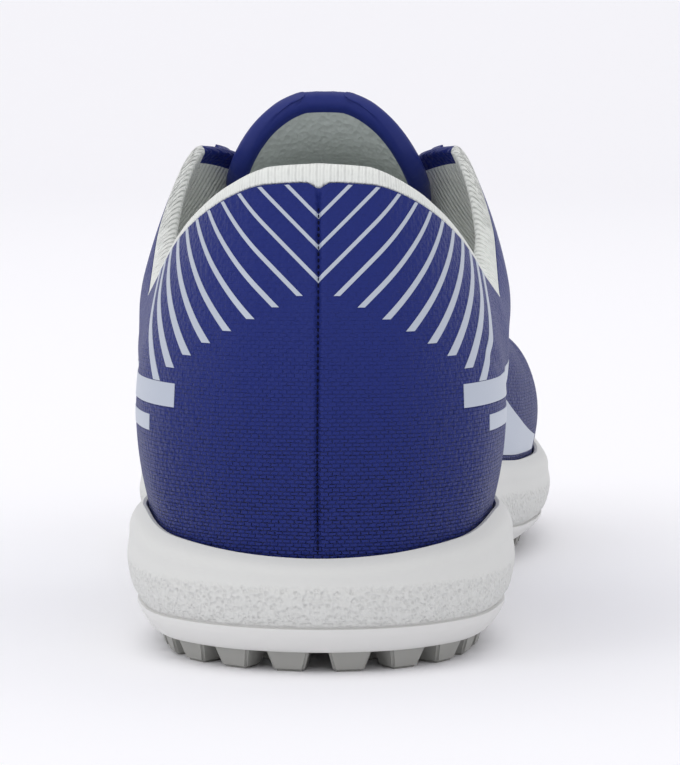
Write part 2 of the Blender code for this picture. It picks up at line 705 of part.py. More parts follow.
def make_tongue(collection):
    line, half = tongue_line()
    run = unit(np.gradient(line, axis=0))
    normal = unit(np.stack([np.zeros(len(line)), run[:, 2], -run[:, 1]], -1))
    columns = TONGUE_COLUMNS
    spread = np.linspace(-1.0, 1.0, columns)
    radius = CROWN_RADIUS * TONGUE_RADIUS_SHARE
    levels = []
    for face, depth in ((0, 0.0), (1, TONGUE_THICKNESS)):
        for place in range(len(line)):
            angle = np.arcsin(np.clip(half[place] / radius, 0.0, 0.95)) * spread
            thin = depth * np.sqrt(np.maximum(1 - (TONGUE_FLAT_SHARE * spread) ** 4, 0.0))
            bend = radius * (1 - np.cos(angle)) + thin
            row = line[place] - normal[place] * bend[:, None]
            row = row + np.array([1.0, 0.0, 0.0]) * ((radius - thin) * np.sin(angle))[:, None]
            levels.append(row)
    rows = len(line)
    points = [point for level in levels for point in level]
    faces = []
    for place in range(rows - 1):
        for step in range(columns - 1):
            base = place * columns + step
            faces.append((base, base + 1, base + columns + 1, base + columns))
            under = rows * columns + base
            faces.append((under, under + columns, under + columns + 1, under + 1))
    for place in range(rows - 1):
        for step in (0, columns - 1):
            top = place * columns + step
            low = rows * columns + top
            faces.append((top, top + columns, low + columns, low))
    for place in (0, rows - 1):
        for step in range(columns - 1):
            top = place * columns + step
            low = rows * columns + top
            faces.append((top, top + 1, low + 1, low))
    return new_object("tongue", points, faces, (0.02, 0.025, 0.20), 0.6, collection)


def make_insole(collection):
    at = turns()
    inset = LIP_WALL + GAP + WALL + GAP
    bed = side_height("bed", at) + GAP
    rings = [
        ring(at, inset, bed),
        ring(at, inset, bed + INSOLE_THICKNESS * 0.85),
        ring(at, inset + INSOLE_THICKNESS * 0.4, bed + INSOLE_THICKNESS),
    ]
    return ring_solid("insole", rings, (0.70, 0.72, 0.70), 0.9, collection)


def shift_to_origin(objects):
    """The move that brings the box's middle over the origin and its foot to z = 0."""
    bpy.context.view_layer.update()
    graph = bpy.context.evaluated_depsgraph_get()
    corners = []
    for made in objects:
        mesh = made.evaluated_get(graph).to_mesh()
        corners.extend(vertex.co[:] for vertex in mesh.vertices)
    corners = np.array(corners)
    low, high = corners.min(axis=0), corners.max(axis=0)
    return (-(low[0] + high[0]) / 2, -(low[1] + high[1]) / 2, -low[2])


def main():
    for old in list(bpy.data.objects):
        bpy.data.objects.remove(old, do_unlink=True)
    scene = bpy.context.scene.collection
    shoe = bpy.data.collections.new("turf_shoe")
    cutters = bpy.data.collections.new("cutters")
    scene.children.link(shoe)
    scene.children.link(cutters)
    made = [
        make_outsole(shoe, cutters),
        make_midsole(shoe),
        make_upper(shoe),
        make_tongue(shoe),
        make_insole(shoe),
        make_eyestay(shoe),
        make_laces(shoe, cutters),
    ]
    shift = shift_to_origin(made)
    for one in made + list(cutters.objects):
        one.location = shift


main()
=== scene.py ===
# %% [markdown]
# # A turf shoe, seen from behind
#
# This lesson dresses a plain CAD model of a low-cut turf shoe: the left shoe of a pair, as
# its owner would see it from behind. The CAD model has the right sizes and the true shape
# of the last, and it has the collision. Here every part gets a smooth skin, its edges,
# seams and prints, and a finish.
#
# The frame comes first. Everything is in metres, with the toe towards +Y, the inner side of
# the foot at +X and the floor at z = 0.

import math

import bmesh
import bpy
import numpy as np
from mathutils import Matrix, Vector


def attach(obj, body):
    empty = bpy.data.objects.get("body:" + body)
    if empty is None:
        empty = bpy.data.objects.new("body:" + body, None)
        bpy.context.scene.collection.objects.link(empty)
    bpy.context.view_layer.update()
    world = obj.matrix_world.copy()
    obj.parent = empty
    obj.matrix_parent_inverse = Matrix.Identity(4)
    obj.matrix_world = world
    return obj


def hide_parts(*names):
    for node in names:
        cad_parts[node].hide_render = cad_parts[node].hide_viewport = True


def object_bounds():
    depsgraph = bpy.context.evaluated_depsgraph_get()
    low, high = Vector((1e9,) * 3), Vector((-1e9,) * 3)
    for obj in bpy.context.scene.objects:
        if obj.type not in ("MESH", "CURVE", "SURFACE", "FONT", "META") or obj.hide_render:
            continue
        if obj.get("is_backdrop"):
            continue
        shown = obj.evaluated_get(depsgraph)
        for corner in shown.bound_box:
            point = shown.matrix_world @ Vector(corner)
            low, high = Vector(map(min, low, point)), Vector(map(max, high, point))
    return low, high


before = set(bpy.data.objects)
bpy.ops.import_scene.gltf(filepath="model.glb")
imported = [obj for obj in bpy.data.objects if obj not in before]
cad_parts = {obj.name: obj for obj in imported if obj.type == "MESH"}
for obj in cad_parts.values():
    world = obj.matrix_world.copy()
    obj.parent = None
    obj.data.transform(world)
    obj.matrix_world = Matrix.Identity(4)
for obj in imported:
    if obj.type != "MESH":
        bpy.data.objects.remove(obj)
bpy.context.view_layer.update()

MM = 0.001
midsole_points = np.array([vertex.co[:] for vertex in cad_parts["midsole"].data.vertices])
HEEL = midsole_points[midsole_points[:, 1].argmin()] * (1.0, 1.0, 0.0)
print("heel's back on the floor, mm:", (HEEL / MM).round(1))

# %% [markdown]
# ## The camera
#
# The photograph was taken from 0.7 m behind the heel, a little above the shoe and a little
# to its inner side, with the shoe toed out by 1.5 degrees. A camera's place sets which sides
# of the shoe it sees. Its lens only crops, so a longer lens brings the one shoe closer
# without a change of angle. The camera looks straight at the shoe's middle, with no shift.

# %% Set the camera
CAMERA_FROM_HEEL = Vector((0.0322, -0.7011, 0.113))
LOOK = Vector((-0.0399, 1.0014, -0.0835))
PHOTO_FOCAL_PIXELS = 2087.0
CLOSER = 1.85
SENSOR = 36.0
LONG_SIDE_PIXELS = 765

camera_data = bpy.data.cameras.new("camera")
camera_data.sensor_width = SENSOR
camera_data.lens = PHOTO_FOCAL_PIXELS * CLOSER * SENSOR / LONG_SIDE_PIXELS
camera_data.clip_start = 0.05
camera_data.clip_end = 20.0
camera = bpy.data.objects.new("camera", camera_data)
camera.location = Vector(HEEL) + CAMERA_FROM_HEEL
camera.rotation_euler = LOOK.to_track_quat("-Z", "Y").to_euler()
scene = bpy.context.scene
scene.collection.objects.link(camera)
scene.camera = camera
print(f"lens {camera_data.lens:.0f} mm")

# %% [markdown]
# ## Small helpers for colours and nodes
#
# Colours are read off the photograph as six hexadecimal digits, which are made for the eye.
# Blender's light adds up in linear values, so one function turns the first into the second.
# A second one adds a shader node with its values, and a third makes a material with
# the one shader that nearly every real surface needs.


# %% Colours, nodes and materials
def linear(code):
    """Linear red, green, blue and alpha of an sRGB code such as "252F6C"."""
    shares = [int(code[place : place + 2], 16) / 255 for place in (0, 2, 4)]
    parts = [share / 12.92 if share <= 0.04045 else ((share + 0.055) / 1.055) ** 2.4 for share in shares]
    return (*parts, 1.0)


def add_node(tree, kind, values=None, **settings):
    """A new node with its settings, and its input sockets set or linked by name."""
    node = tree.nodes.new(kind)
    for name, value in settings.items():
        setattr(node, name, value)
    for name, value in (values or {}).items():
        if isinstance(value, bpy.types.NodeSocket):
            tree.links.new(value, node.inputs[name])
        else:
            node.inputs[name].default_value = value
    return node


def new_material(name, color, roughness, **values):
    """A material named for what it is made of. Returns it with its tree and its shader."""
    made = bpy.data.materials.new(name)
    made.use_nodes = True
    made.diffuse_color = linear(color)
    shader = made.node_tree.nodes["Principled BSDF"]
    shader.inputs["Base Color"].default_value = linear(color)
    shader.inputs["Roughness"].default_value = roughness
    for socket, value in values.items():
        shader.inputs[socket.replace("_", " ")].default_value = value
    return made, made.node_tree, shader


def bump(tree, shader, height, distance, strength=1.0):
    """Tilts the shading of a surface by a height map. distance is the map's depth in metres."""
    before = shader.inputs["Normal"].links
    values = {"Height": height, "Distance": distance, "Strength": strength}
    if before:
        values["Normal"] = before[0].from_socket
    node = add_node(tree, "ShaderNodeBump", values)
    tree.links.new(node.outputs["Normal"], shader.inputs["Normal"])


# %% [markdown]
# ## The studio
#
# The shoes stand on seamless white paper under large soft lights, so that the only shadow is
# a soft one where the sole nears the floor. White paper is a sheet that runs up behind the
# shoe in one bend. The world is nearly white too, because a satin surface shows
# what surrounds it, and a white room gives this shoe its pale edges.

# %% Build the studio
PAPER = "F7F6F9"
PAPER_HALF_WIDTH = 3.0
PAPER_BACK = 2.4
PAPER_BEND = 0.8

world = bpy.data.worlds.new("white room")
world.use_nodes = True
backdrop = world.node_tree.nodes["Background"]
backdrop.inputs["Color"].default_value = linear(PAPER)
backdrop.inputs["Strength"].default_value = 0.90
scene.world = world
scene.view_settings.view_transform = "Standard"
scene.view_settings.look = "None"


def add_area(name, place, aim, size, power):
    """A square soft light at a place, pointing at another, both from the heel."""
    data = bpy.data.lights.new(name, "AREA")
    data.size = size
    data.energy = power
    lamp = bpy.data.objects.new(name, data)
    lamp.location = Vector(HEEL) + Vector(place)
    lamp.rotation_euler = (Vector(aim) - Vector(place)).to_track_quat("-Z", "Y").to_euler()
    scene.collection.objects.link(lamp)


add_area("overhead", (-0.5, 0.4, 2.6), (0.0, 0.3, 0.0), 3.0, 14.0)
add_area("behind left", (-1.6, -1.2, 1.3), (0.0, 0.10, 0.03), 1.0, 5.0)

bend = np.radians(np.linspace(0.0, 90.0, 13))
profile = [(-2.0, 0.0)]
profile += [(PAPER_BACK + PAPER_BEND * math.sin(a), PAPER_BEND * (1 - math.cos(a))) for a in bend]
profile.append((PAPER_BACK + PAPER_BEND, 3.0))
paper_mesh = bpy.data.meshes.new("paper")
paper_mesh.from_pydata(
    [(x, y, z) for y, z in profile for x in (-PAPER_HALF_WIDTH, PAPER_HALF_WIDTH)],
    [],
    [(2 * row, 2 * row + 1, 2 * row + 3, 2 * row + 2) for row in range(len(profile) - 1)],
)
paper_mesh.shade_smooth()
paper = bpy.data.objects.new("paper", paper_mesh)
scene.collection.objects.link(paper)
paper_finish, _, _ = new_material("white paper", "FCFCFE", 0.9, Specular_IOR_Level=0.1)
paper_mesh.materials.append(paper_finish)
paper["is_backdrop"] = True
print("paper of", len(profile) - 1, "strips")

# %% [markdown]
# ## The shape of the last
#
# A shoe takes its shape from a last, a solid foot-shaped form. The CAD model describes it by
# a few tables of stations, the way a boat builder describes a hull. Everything that goes
# round the foot is worked out at a turn: 0 is the back of the heel, 1 the toe, and the
# inner side brings it back to 2. The same tables are used here, at a much finer step, so
# that the dressed parts lie exactly on the CAD solids.

# %% The sizes and stations
SOLE_LENGTH = 282.0 * MM
SOLE_WIDTH = 96.0 * MM
SOLE_HEIGHT = 27.0 * MM
TOE_SPRING = 9.5 * MM
STUD_HEIGHT = 4.0 * MM
COLLAR_HEIGHT = 91.2 * MM
GAP = 0.3 * MM
WALL = 1.8 * MM
COLLAR_PAD = 5.5 * MM
LIP_WALL = 4.0 * MM
BAND_FOOT_INSET = 4.8 * MM
CROWN_RADIUS = 40.0 * MM
VAMP_TURN = 0.77
CORNER_TURN = 0.48

# Shares of the sole's length and width: turn, along, outer side, inner side.
OUTLINE = (
    (0.00, 0.000, 0.000, 0.000),
    (0.05, 0.013, -0.166, 0.160),
    (0.11, 0.056, -0.314, 0.298),
    (0.20, 0.145, -0.401, 0.376),
    (0.32, 0.290, -0.404, 0.350),
    (0.43, 0.420, -0.414, 0.325),
    (0.53, 0.530, -0.452, 0.365),
    (0.62, 0.625, -0.505, 0.435),
    (0.70, 0.710, -0.524, 0.472),
    (0.77, 0.790, -0.505, 0.472),
    (0.84, 0.868, -0.438, 0.440),
    (0.90, 0.934, -0.328, 0.366),
    (0.95, 0.981, -0.175, 0.248),
    (1.00, 1.000, 0.045, 0.045),
)

# The sole's side: turn, lift of the studs as a share of the toe spring, then the top of the
# rubber, the foam's top edge and its floor as shares of the sole's height.
SIDE = (
    (0.00, 0.00, 0.335, 0.805, 0.620),
    (0.11, 0.00, 0.335, 0.890, 0.620),
    (0.20, 0.00, 0.335, 1.000, 0.620),
    (0.32, 0.05, 0.340, 1.000, 0.610),
    (0.43, 0.15, 0.340, 0.955, 0.590),
    (0.53, 0.10, 0.320, 0.880, 0.550),
    (0.62, 0.00, 0.290, 0.830, 0.500),
    (0.70, 0.00, 0.275, 0.800, 0.480),
    (0.77, 0.05, 0.275, 0.785, 0.470),
    (0.84, 0.26, 0.280, 0.775, 0.465),
    (0.90, 0.54, 0.285, 0.770, 0.460),
    (0.95, 0.82, 0.290, 0.770, 0.460),
    (1.00, 1.00, 0.290, 0.770, 0.460),
)

# The upper's top edge: turn, along, half widths on the outer and inner side, height.
TOPLINE = (
    (0.00, 0.030, 0.000, 0.000, 1.000),
    (0.05, 0.034, -0.100, 0.100, 0.995),
    (0.10, 0.055, -0.185, 0.182, 0.962),
    (0.18, 0.115, -0.280, 0.272, 0.878),
    (0.27, 0.192, -0.340, 0.332, 0.778),
    (0.35, 0.255, -0.370, 0.366, 0.725),
    (0.42, 0.320, -0.360, 0.362, 0.840),
    (0.48, 0.375, -0.276, 0.284, 1.042),
    (0.52, 0.418, -0.206, 0.212, 1.022),
    (0.61, 0.510, -0.174, 0.176, 0.860),
    (0.69, 0.600, -0.145, 0.145, 0.723),
    (0.745, 0.648, -0.095, 0.095, 0.668),
    (0.77, 0.664, 0.000, 0.000, 0.662),
    (0.84, 0.745, 0.000, 0.000, 0.602),
    (0.90, 0.815, 0.000, 0.000, 0.562),
    (0.95, 0.865, 0.000, 0.000, 0.534),
    (1.00, 0.888, 0.000, 0.000, 0.520),
)

# How the wall bends between the two: turn, lean and pull at the sole, lean and pull at the
# top edge, and how far the top end is aimed at the sole.
PROFILE = (
    (0.00, 15.0, 0.36, -5.0, 0.34, 0.0),
    (0.11, 16.0, 0.38, 6.0, 0.34, 0.0),
    (0.20, 15.0, 0.42, 18.0, 0.34, 0.0),
    (0.32, 14.0, 0.45, 18.0, 0.34, 0.0),
    (0.42, 14.0, 0.45, 26.0, 0.34, 0.2),
    (0.48, 14.0, 0.42, 54.0, 0.36, 0.6),
    (0.52, 12.0, 0.40, 62.0, 0.40, 1.0),
    (0.61, 14.0, 0.40, 67.0, 0.44, 1.0),
    (0.69, 15.0, 0.44, 72.0, 0.46, 1.0),
    (0.77, 13.0, 0.43, 90.0, 0.46, 1.0),
    (0.90, 12.0, 0.40, 90.0, 0.46, 1.0),
    (1.00, 14.0, 0.42, 90.0, 0.46, 1.0),
)

# The foot's axis bends: share of the length, share of the width.
AXIS = ((0.0, 0.0), (0.20, -0.012), (0.40, -0.030), (0.66, 0.0), (0.90, 0.035), (1.0, 0.04))

# %% [markdown]
# ## Smooth curves through the stations
#
# A cubic curve through the stations turns each column of a table into a smooth quantity. Its
# slope at a station either rounds through it, or is flat wherever the values turn, so that
# the curve never swings past them. That second kind keeps the collar's lowest point where
# the table has it.


# %% Curves through a table
def slopes_between(knots, values, round_curve):
    """A slope at each inner knot: rounded through it, or flat wherever the values turn."""
    steps = np.diff(knots)
    rates = np.diff(values) / steps
    before, after = rates[:-1], rates[1:]
    if round_curve:
        return (steps[1:] * before + steps[:-1] * after) / (steps[:-1] + steps[1:])
    rising = before * after > 0
    total = np.where(rising, before + after, 1.0)
    return np.where(rising, 2.0 * before * after / total, 0.0)


def curve_at(knots, values, slopes, at):
    """The cubic curve through knots with given slopes."""
    place = np.clip(np.searchsorted(knots, at, side="right") - 1, 0, len(knots) - 2)
    step = knots[place + 1] - knots[place]
    share = (at - knots[place]) / step
    start, end = values[place], values[place + 1]
    return (
        start * (1 + 2 * share) * (1 - share) ** 2
        + slopes[place] * step * share * (1 - share) ** 2
        + end * share**2 * (3 - 2 * share)
        - slopes[place + 1] * step * share**2 * (1 - share)
    )


def around(table, outer, inner, at, round_curve=False):
    """A quantity at turns 0 to 2, from its columns for the outer and the inner side."""
    rows = np.array(table)
    turn, first, second = rows[:, 0], rows[:, outer], rows[:, inner]
    knots = np.concatenate([turn, 2.0 - turn[-2::-1]])
    values = np.concatenate([first, second[-2::-1]])
    long_knots = np.concatenate([[knots[-2] - 2.0], knots, [knots[1] + 2.0]])
    long_values = np.concatenate([[values[-2]], values, [values[1]]])
    slopes = slopes_between(long_knots, long_values, round_curve)
    return curve_at(knots, values, slopes, np.mod(at, 2.0))


def side_of(at):
    """How far round from the heel, 0 to 1, on whichever side of the shoe."""
    return np.minimum(np.mod(at, 2.0), 2.0 - np.mod(at, 2.0))


def ease(value, start, end):
    """0 before start, 1 after end, smooth between."""
    share = np.clip((value - start) / (end - start), 0.0, 1.0)
    return share * share * (3 - 2 * share)


def unit(vectors):
    """The vectors at length 1."""
    return vectors / np.maximum(np.linalg.norm(vectors, axis=-1, keepdims=True), 1e-12)


def ridge(distance, width):
    """A soft ridge of height 1 along distance 0."""
    return np.exp(-((distance / width) ** 2))


# %% [markdown]
# ## The sole's outline and the upper's face
#
# In plan the sole is a closed curve, and an inset of it is a step square to that curve. The
# upper's wall rises from just inside the foam's lip to the top edge as a Bezier curve at
# each turn. Behind the throat that edge is open, and in front of it the two sides meet on
# the crest over the toes.


# %% The outline, the top edge and the wall between
def outline(at):
    """The sole's widest outline in plan."""
    x = around(OUTLINE, 2, 3, at, True) * SOLE_WIDTH
    y = around(OUTLINE, 1, 1, at, True) * SOLE_LENGTH
    return np.stack([x, y], -1)


def outward(curve, at):
    """The direction square to a closed plan curve, pointing out."""
    small = 1e-4
    run = curve(at + small) - curve(at - small)
    return unit(np.stack([-run[..., 1], run[..., 0]], -1))


def inset_outline(at, inset):
    return outline(at) - outward(outline, at) * np.asarray(inset)[..., None]


def stud_lift(at):
    """The height of the studs' feet, which rise under the toe."""
    return around(SIDE, 1, 1, at) * TOE_SPRING


def sole_height(column, at):
    """A height on the sole's side: column 2 the rubber's top, 3 the foam's edge, 4 its floor."""
    return stud_lift(at) + around(SIDE, column, column, at) * SOLE_HEIGHT


def axis_x(y):
    """Sideways place of the foot's axis at a length y."""
    along, across = np.array(AXIS).T
    slopes = np.concatenate([[0.0], slopes_between(along, across, True), [0.0]])
    return curve_at(along, across, slopes, np.clip(y / SOLE_LENGTH, 0.0, 1.0)) * SOLE_WIDTH


def topline(at):
    """The upper's top edge, and its half width from the axis."""
    y = around(TOPLINE, 1, 1, at) * SOLE_LENGTH
    half = around(TOPLINE, 2, 3, at) * SOLE_WIDTH
    z = around(TOPLINE, 4, 4, at) * COLLAR_HEIGHT
    return np.stack([axis_x(y) + half, y, z], -1), half


def crest_slope(at):
    """Rise of the top edge for each step forward, kept from its end at the toe."""
    side = np.clip(side_of(at), 0.55, 0.97)
    ahead, behind = topline(side + 0.01)[0], topline(side - 0.01)[0]
    return (ahead[..., 2] - behind[..., 2]) / (ahead[..., 1] - behind[..., 1])


def wall_face(at, share):
    """The upper's outer face: share runs from 0 at the foam's lip to 1 at the top edge."""
    foot_plan = inset_outline(at, np.full(at.shape, LIP_WALL + GAP))
    foot = np.concatenate([foot_plan, sole_height(3, at)[..., None]], -1)
    top, _ = topline(at)
    up = np.array([0.0, 0.0, 1.0])
    span = np.linalg.norm(top - foot, axis=-1)[..., None]
    lean_low, pull_low, lean_high, pull_high, fan = (
        around(PROFILE, column, column, at)[..., None] for column in (1, 2, 3, 4, 5)
    )
    lean_low, lean_high = np.radians(lean_low), np.radians(lean_high)
    out_low = np.concatenate([outward(outline, at), np.zeros(at.shape + (1,))], -1)
    low = foot + pull_low * span * (np.sin(lean_low) * out_low + np.cos(lean_low) * up)
    square = outward(lambda turn: topline(turn)[0][..., :2], at)
    aimed = unit((foot - top)[..., :2])
    flat = unit(square * (1 - fan) + aimed * fan)
    climb = crest_slope(at)[..., None] * flat[..., 1:] * fan
    out_high = np.concatenate([flat, climb], -1)
    high = top + pull_high * span * (np.sin(lean_high) * out_high - np.cos(lean_high) * up)
    s = np.asarray(share)[..., None]
    return foot * (1 - s) ** 3 + low * 3 * s * (1 - s) ** 2 + high * 3 * s**2 * (1 - s) + top * s**3


def wall_normal(at, share):
    """The direction out of the upper's outer face."""
    small = 1e-3
    share = np.asarray(share, float)
    climb = wall_face(at, np.clip(share + small, 0, 1)) - wall_face(at, np.clip(share - small, 0, 1))
    run = wall_face(at + small, share) - wall_face(at - small, share)
    slope = crest_slope(at)
    crest = unit(np.stack([np.zeros_like(slope), -slope, np.ones_like(slope)], -1))
    on_crest = (side_of(at) >= VAMP_TURN - 1e-6) & (share > 1 - 1e-6)
    return np.where(on_crest[..., None], crest, unit(np.cross(climb, run)))


low_point = topline(np.array([0.35]))[0][0]
print("the collar's lowest point is", round(low_point[2] / MM, 1), "mm up")

# %% [markdown]
# ## Nets of points
#
# Nearly every part is a net: rows of points that follow one another, joined by quads. Each
# corner of a quad also gets a chart place, its UV, in real millimetres, so that a weave
# or a grain keeps its true size in every material. Points that meet are merged, and the
# faces are turned outward.


# %% Make a net into a piece
def net(rows, columns, closed=False, first=0):
    """Quads of a net, and the row and column of each of their corners."""
    row, place = np.meshgrid(np.arange(rows - 1), np.arange(columns - (not closed)), indexing="ij")
    row, place = row.ravel(), place.ravel()
    corner_rows = np.stack([row, row, row + 1, row + 1], -1)
    corner_places = np.stack([place, place + 1, place + 1, place], -1)
    faces = first + corner_rows * columns + corner_places % columns
    return faces.tolist(), np.stack([corner_rows, corner_places], -1)


def new_piece(name, points, faces, materials, chart=None, indices=None, sharp=40, values=None):
    """A piece of the shoe in the row frame, with its chart, finishes and named point values."""
    mesh = bpy.data.meshes.new(name)
    mesh.from_pydata((np.asarray(points) + HEEL).tolist(), [], faces)
    for finish in materials:
        mesh.materials.append(finish)
    if indices is not None:
        mesh.polygons.foreach_set("material_index", indices)
    if chart is not None:
        mesh.uv_layers.new(name="chart").data.foreach_set("uv", np.asarray(chart, float).ravel())
    for label, numbers in (values or {}).items():
        mesh.attributes.new(label, "FLOAT", "POINT").data.foreach_set("value", numbers)
    shape = bmesh.new()
    shape.from_mesh(mesh)
    bmesh.ops.remove_doubles(shape, verts=shape.verts, dist=1e-6)
    bmesh.ops.dissolve_degenerate(shape, edges=shape.edges, dist=1e-6)
    bmesh.ops.recalc_face_normals(shape, faces=shape.faces)
    shape.to_mesh(mesh)
    shape.free()
    mesh.shade_smooth()
    mesh.set_sharp_from_angle(angle=math.radians(sharp))
    piece = bpy.data.objects.new(name, mesh)
    scene.collection.objects.link(piece)
    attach(piece, "root")
    return piece


def shell_piece(name, face, back, materials, chart, **settings):
    """A closed slab between two nets of the same size."""
    rows, columns = face.shape[:2]
    size = rows * columns
    points = np.concatenate([face.reshape(-1, 3), back.reshape(-1, 3)])
    faces, corners = net(rows, columns)
    places = [chart[corners[..., 0], corners[..., 1]].reshape(-1, 2)] * 2
    faces = faces + [[corner + size for corner in reversed(one)] for one in faces]
    places[1] = places[1].reshape(-1, 4, 2)[:, ::-1].reshape(-1, 2)
    border = [(0, place) for place in range(columns)]
    border += [(row, columns - 1) for row in range(1, rows)]
    border += [(rows - 1, place) for place in range(columns - 2, -1, -1)]
    border += [(row, 0) for row in range(rows - 2, 0, -1)]
    edge = [row * columns + place for row, place in border]
    for start, end in zip(edge, edge[1:] + edge[:1]):
        faces.append([start, start + size, end + size, end])
        spots = chart.reshape(-1, 2)[[start, start, end, end]]
        places.append(spots)
    return new_piece(name, points, faces, materials, np.concatenate(places), **settings)


def run_lengths(grid):
    """Distance along each row of a net from its first point."""
    steps = np.linalg.norm(np.diff(grid, axis=1), axis=-1)
    return np.concatenate([np.zeros((len(grid), 1)), np.cumsum(steps, axis=1)], axis=1)


def chart_round(grid, corners):
    """Chart places on a net that is closed round the shoe, measured both ways from the heel."""
    closed = np.concatenate([grid, grid[:, :1]], axis=1)
    going = run_lengths(closed)
    coming = going[:, -1:] - going
    climbs = np.linalg.norm(np.diff(closed, axis=0, prepend=closed[:1]), axis=-1)
    rows, places = corners[..., 0], corners[..., 1]
    outer_side = places[:, :1] < grid.shape[1] // 2
    aside = np.where(outer_side, going[rows, places], coming[rows, places])
    return np.stack([aside, np.cumsum(climbs, axis=0)[rows, places]], -1) / MM


def turns(per_side, fine=()):
    """Turns of columns round the shoe. The vamp point is one, and fine ones can be added."""
    behind = np.linspace(0.0, VAMP_TURN, round(per_side * VAMP_TURN) + 1)
    ahead = np.linspace(VAMP_TURN, 1.0, per_side - len(behind) + 2)[1:]
    outer = np.unique(np.concatenate([behind, ahead, fine]))
    return np.concatenate([outer, 2.0 - outer[-2:0:-1]])


# %% [markdown]
# ## The foam midsole
#
# The midsole is one wedge of EVA foam from a mould. Its top is a smooth lip that the upper
# sits inside, the flank under it has the fine pebbled grain of the mould, and a groove
# parts it from the rubber. The side is drawn once, as insets at shares of its
# height, and follows the outline all the way round.

# %% The foam and its grain
foam, tree, shader = new_material("EVA foam", "D9DAD7", 0.62, Specular_IOR_Level=0.35)
chart_node = add_node(tree, "ShaderNodeTexCoord")
level_node = add_node(tree, "ShaderNodeSeparateXYZ", {"Vector": chart_node.outputs["UV"]})
pebble_share = add_node(
    tree,
    "ShaderNodeMapRange",
    {"Value": level_node.outputs["Y"], "From Min": 8.6, "From Max": 7.6, "To Min": 0.05, "To Max": 1.0},
)
pebbles = add_node(
    tree, "ShaderNodeTexVoronoi", {"Vector": chart_node.outputs["UV"], "Scale": 1.3}, feature="SMOOTH_F1"
)
bump(tree, shader, pebbles.outputs["Distance"], 0.70 * MM, pebble_share.outputs["Result"])

SOLE_COLUMNS = 150


def cap_rows(ring, strips):
    """Rows of a net that closes a ring, from one side of it to the other."""
    half = len(ring) // 2
    near, far = ring[: half + 1], np.concatenate([ring[:1], ring[:half - 1:-1]])
    share = np.linspace(0.0, 1.0, strips + 1)[:, None, None]
    return near * (1 - share) + far * share


def ring_piece(name, rings, finish, strips=8, sharp=40):
    """A solid whose side is a stack of rings, closed at both ends."""
    grid = np.array(rings)
    rows, columns = grid.shape[:2]
    faces, corners = net(rows, columns, closed=True)
    places = [chart_round(grid, corners).reshape(-1, 2)]
    points = [grid.reshape(-1, 3)]
    for ring in (grid[0], grid[-1]):
        rows_across = cap_rows(ring, strips)
        first = sum(len(part) for part in points)
        cap_faces, cap_corners = net(strips + 1, rows_across.shape[1], first=first)
        faces += cap_faces
        points.append(rows_across.reshape(-1, 3))
        plan = rows_across[..., :2] / MM
        places.append(plan[cap_corners[..., 0], cap_corners[..., 1]].reshape(-1, 2))
    return new_piece(name, np.concatenate(points), faces, [finish], np.concatenate(places), sharp=sharp)


def sole_ring(at, inset, z):
    return np.column_stack([inset_outline(at, np.full(len(at), inset)), z])


# %% Mould the midsole
FLANK_SHARES = np.array([0.0, 0.08, 0.24, 0.46, 0.66, 0.80, 0.93, 1.0])
FLANK_INSETS = np.array([2.3, 1.35, 0.45, 0.0, 0.42, 0.55, 1.75, 3.05]) * MM
FLANK_ROWS = 22

at = turns(SOLE_COLUMNS)
groove, lip, bed = (sole_height(column, at) for column in (2, 3, 4))
flank_slopes = np.concatenate([[0.0], slopes_between(FLANK_SHARES, FLANK_INSETS, True), [0.0]])
flank = []
for share in np.linspace(0.0, 1.0, FLANK_ROWS):
    inset = float(curve_at(FLANK_SHARES, FLANK_INSETS, flank_slopes, np.array(share)))
    flank.append(sole_ring(at, inset, groove + GAP / 2 + share * (lip - groove - GAP / 2)))
flank.append(sole_ring(at, LIP_WALL - 0.3 * MM, lip - 0.1 * MM))
flank.append(sole_ring(at, LIP_WALL, lip - 0.7 * MM))
flank.append(sole_ring(at, LIP_WALL, bed))
midsole = ring_piece("midsole_foam", flank, foam)
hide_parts("midsole")
print("midsole faces:", len(midsole.data.polygons))
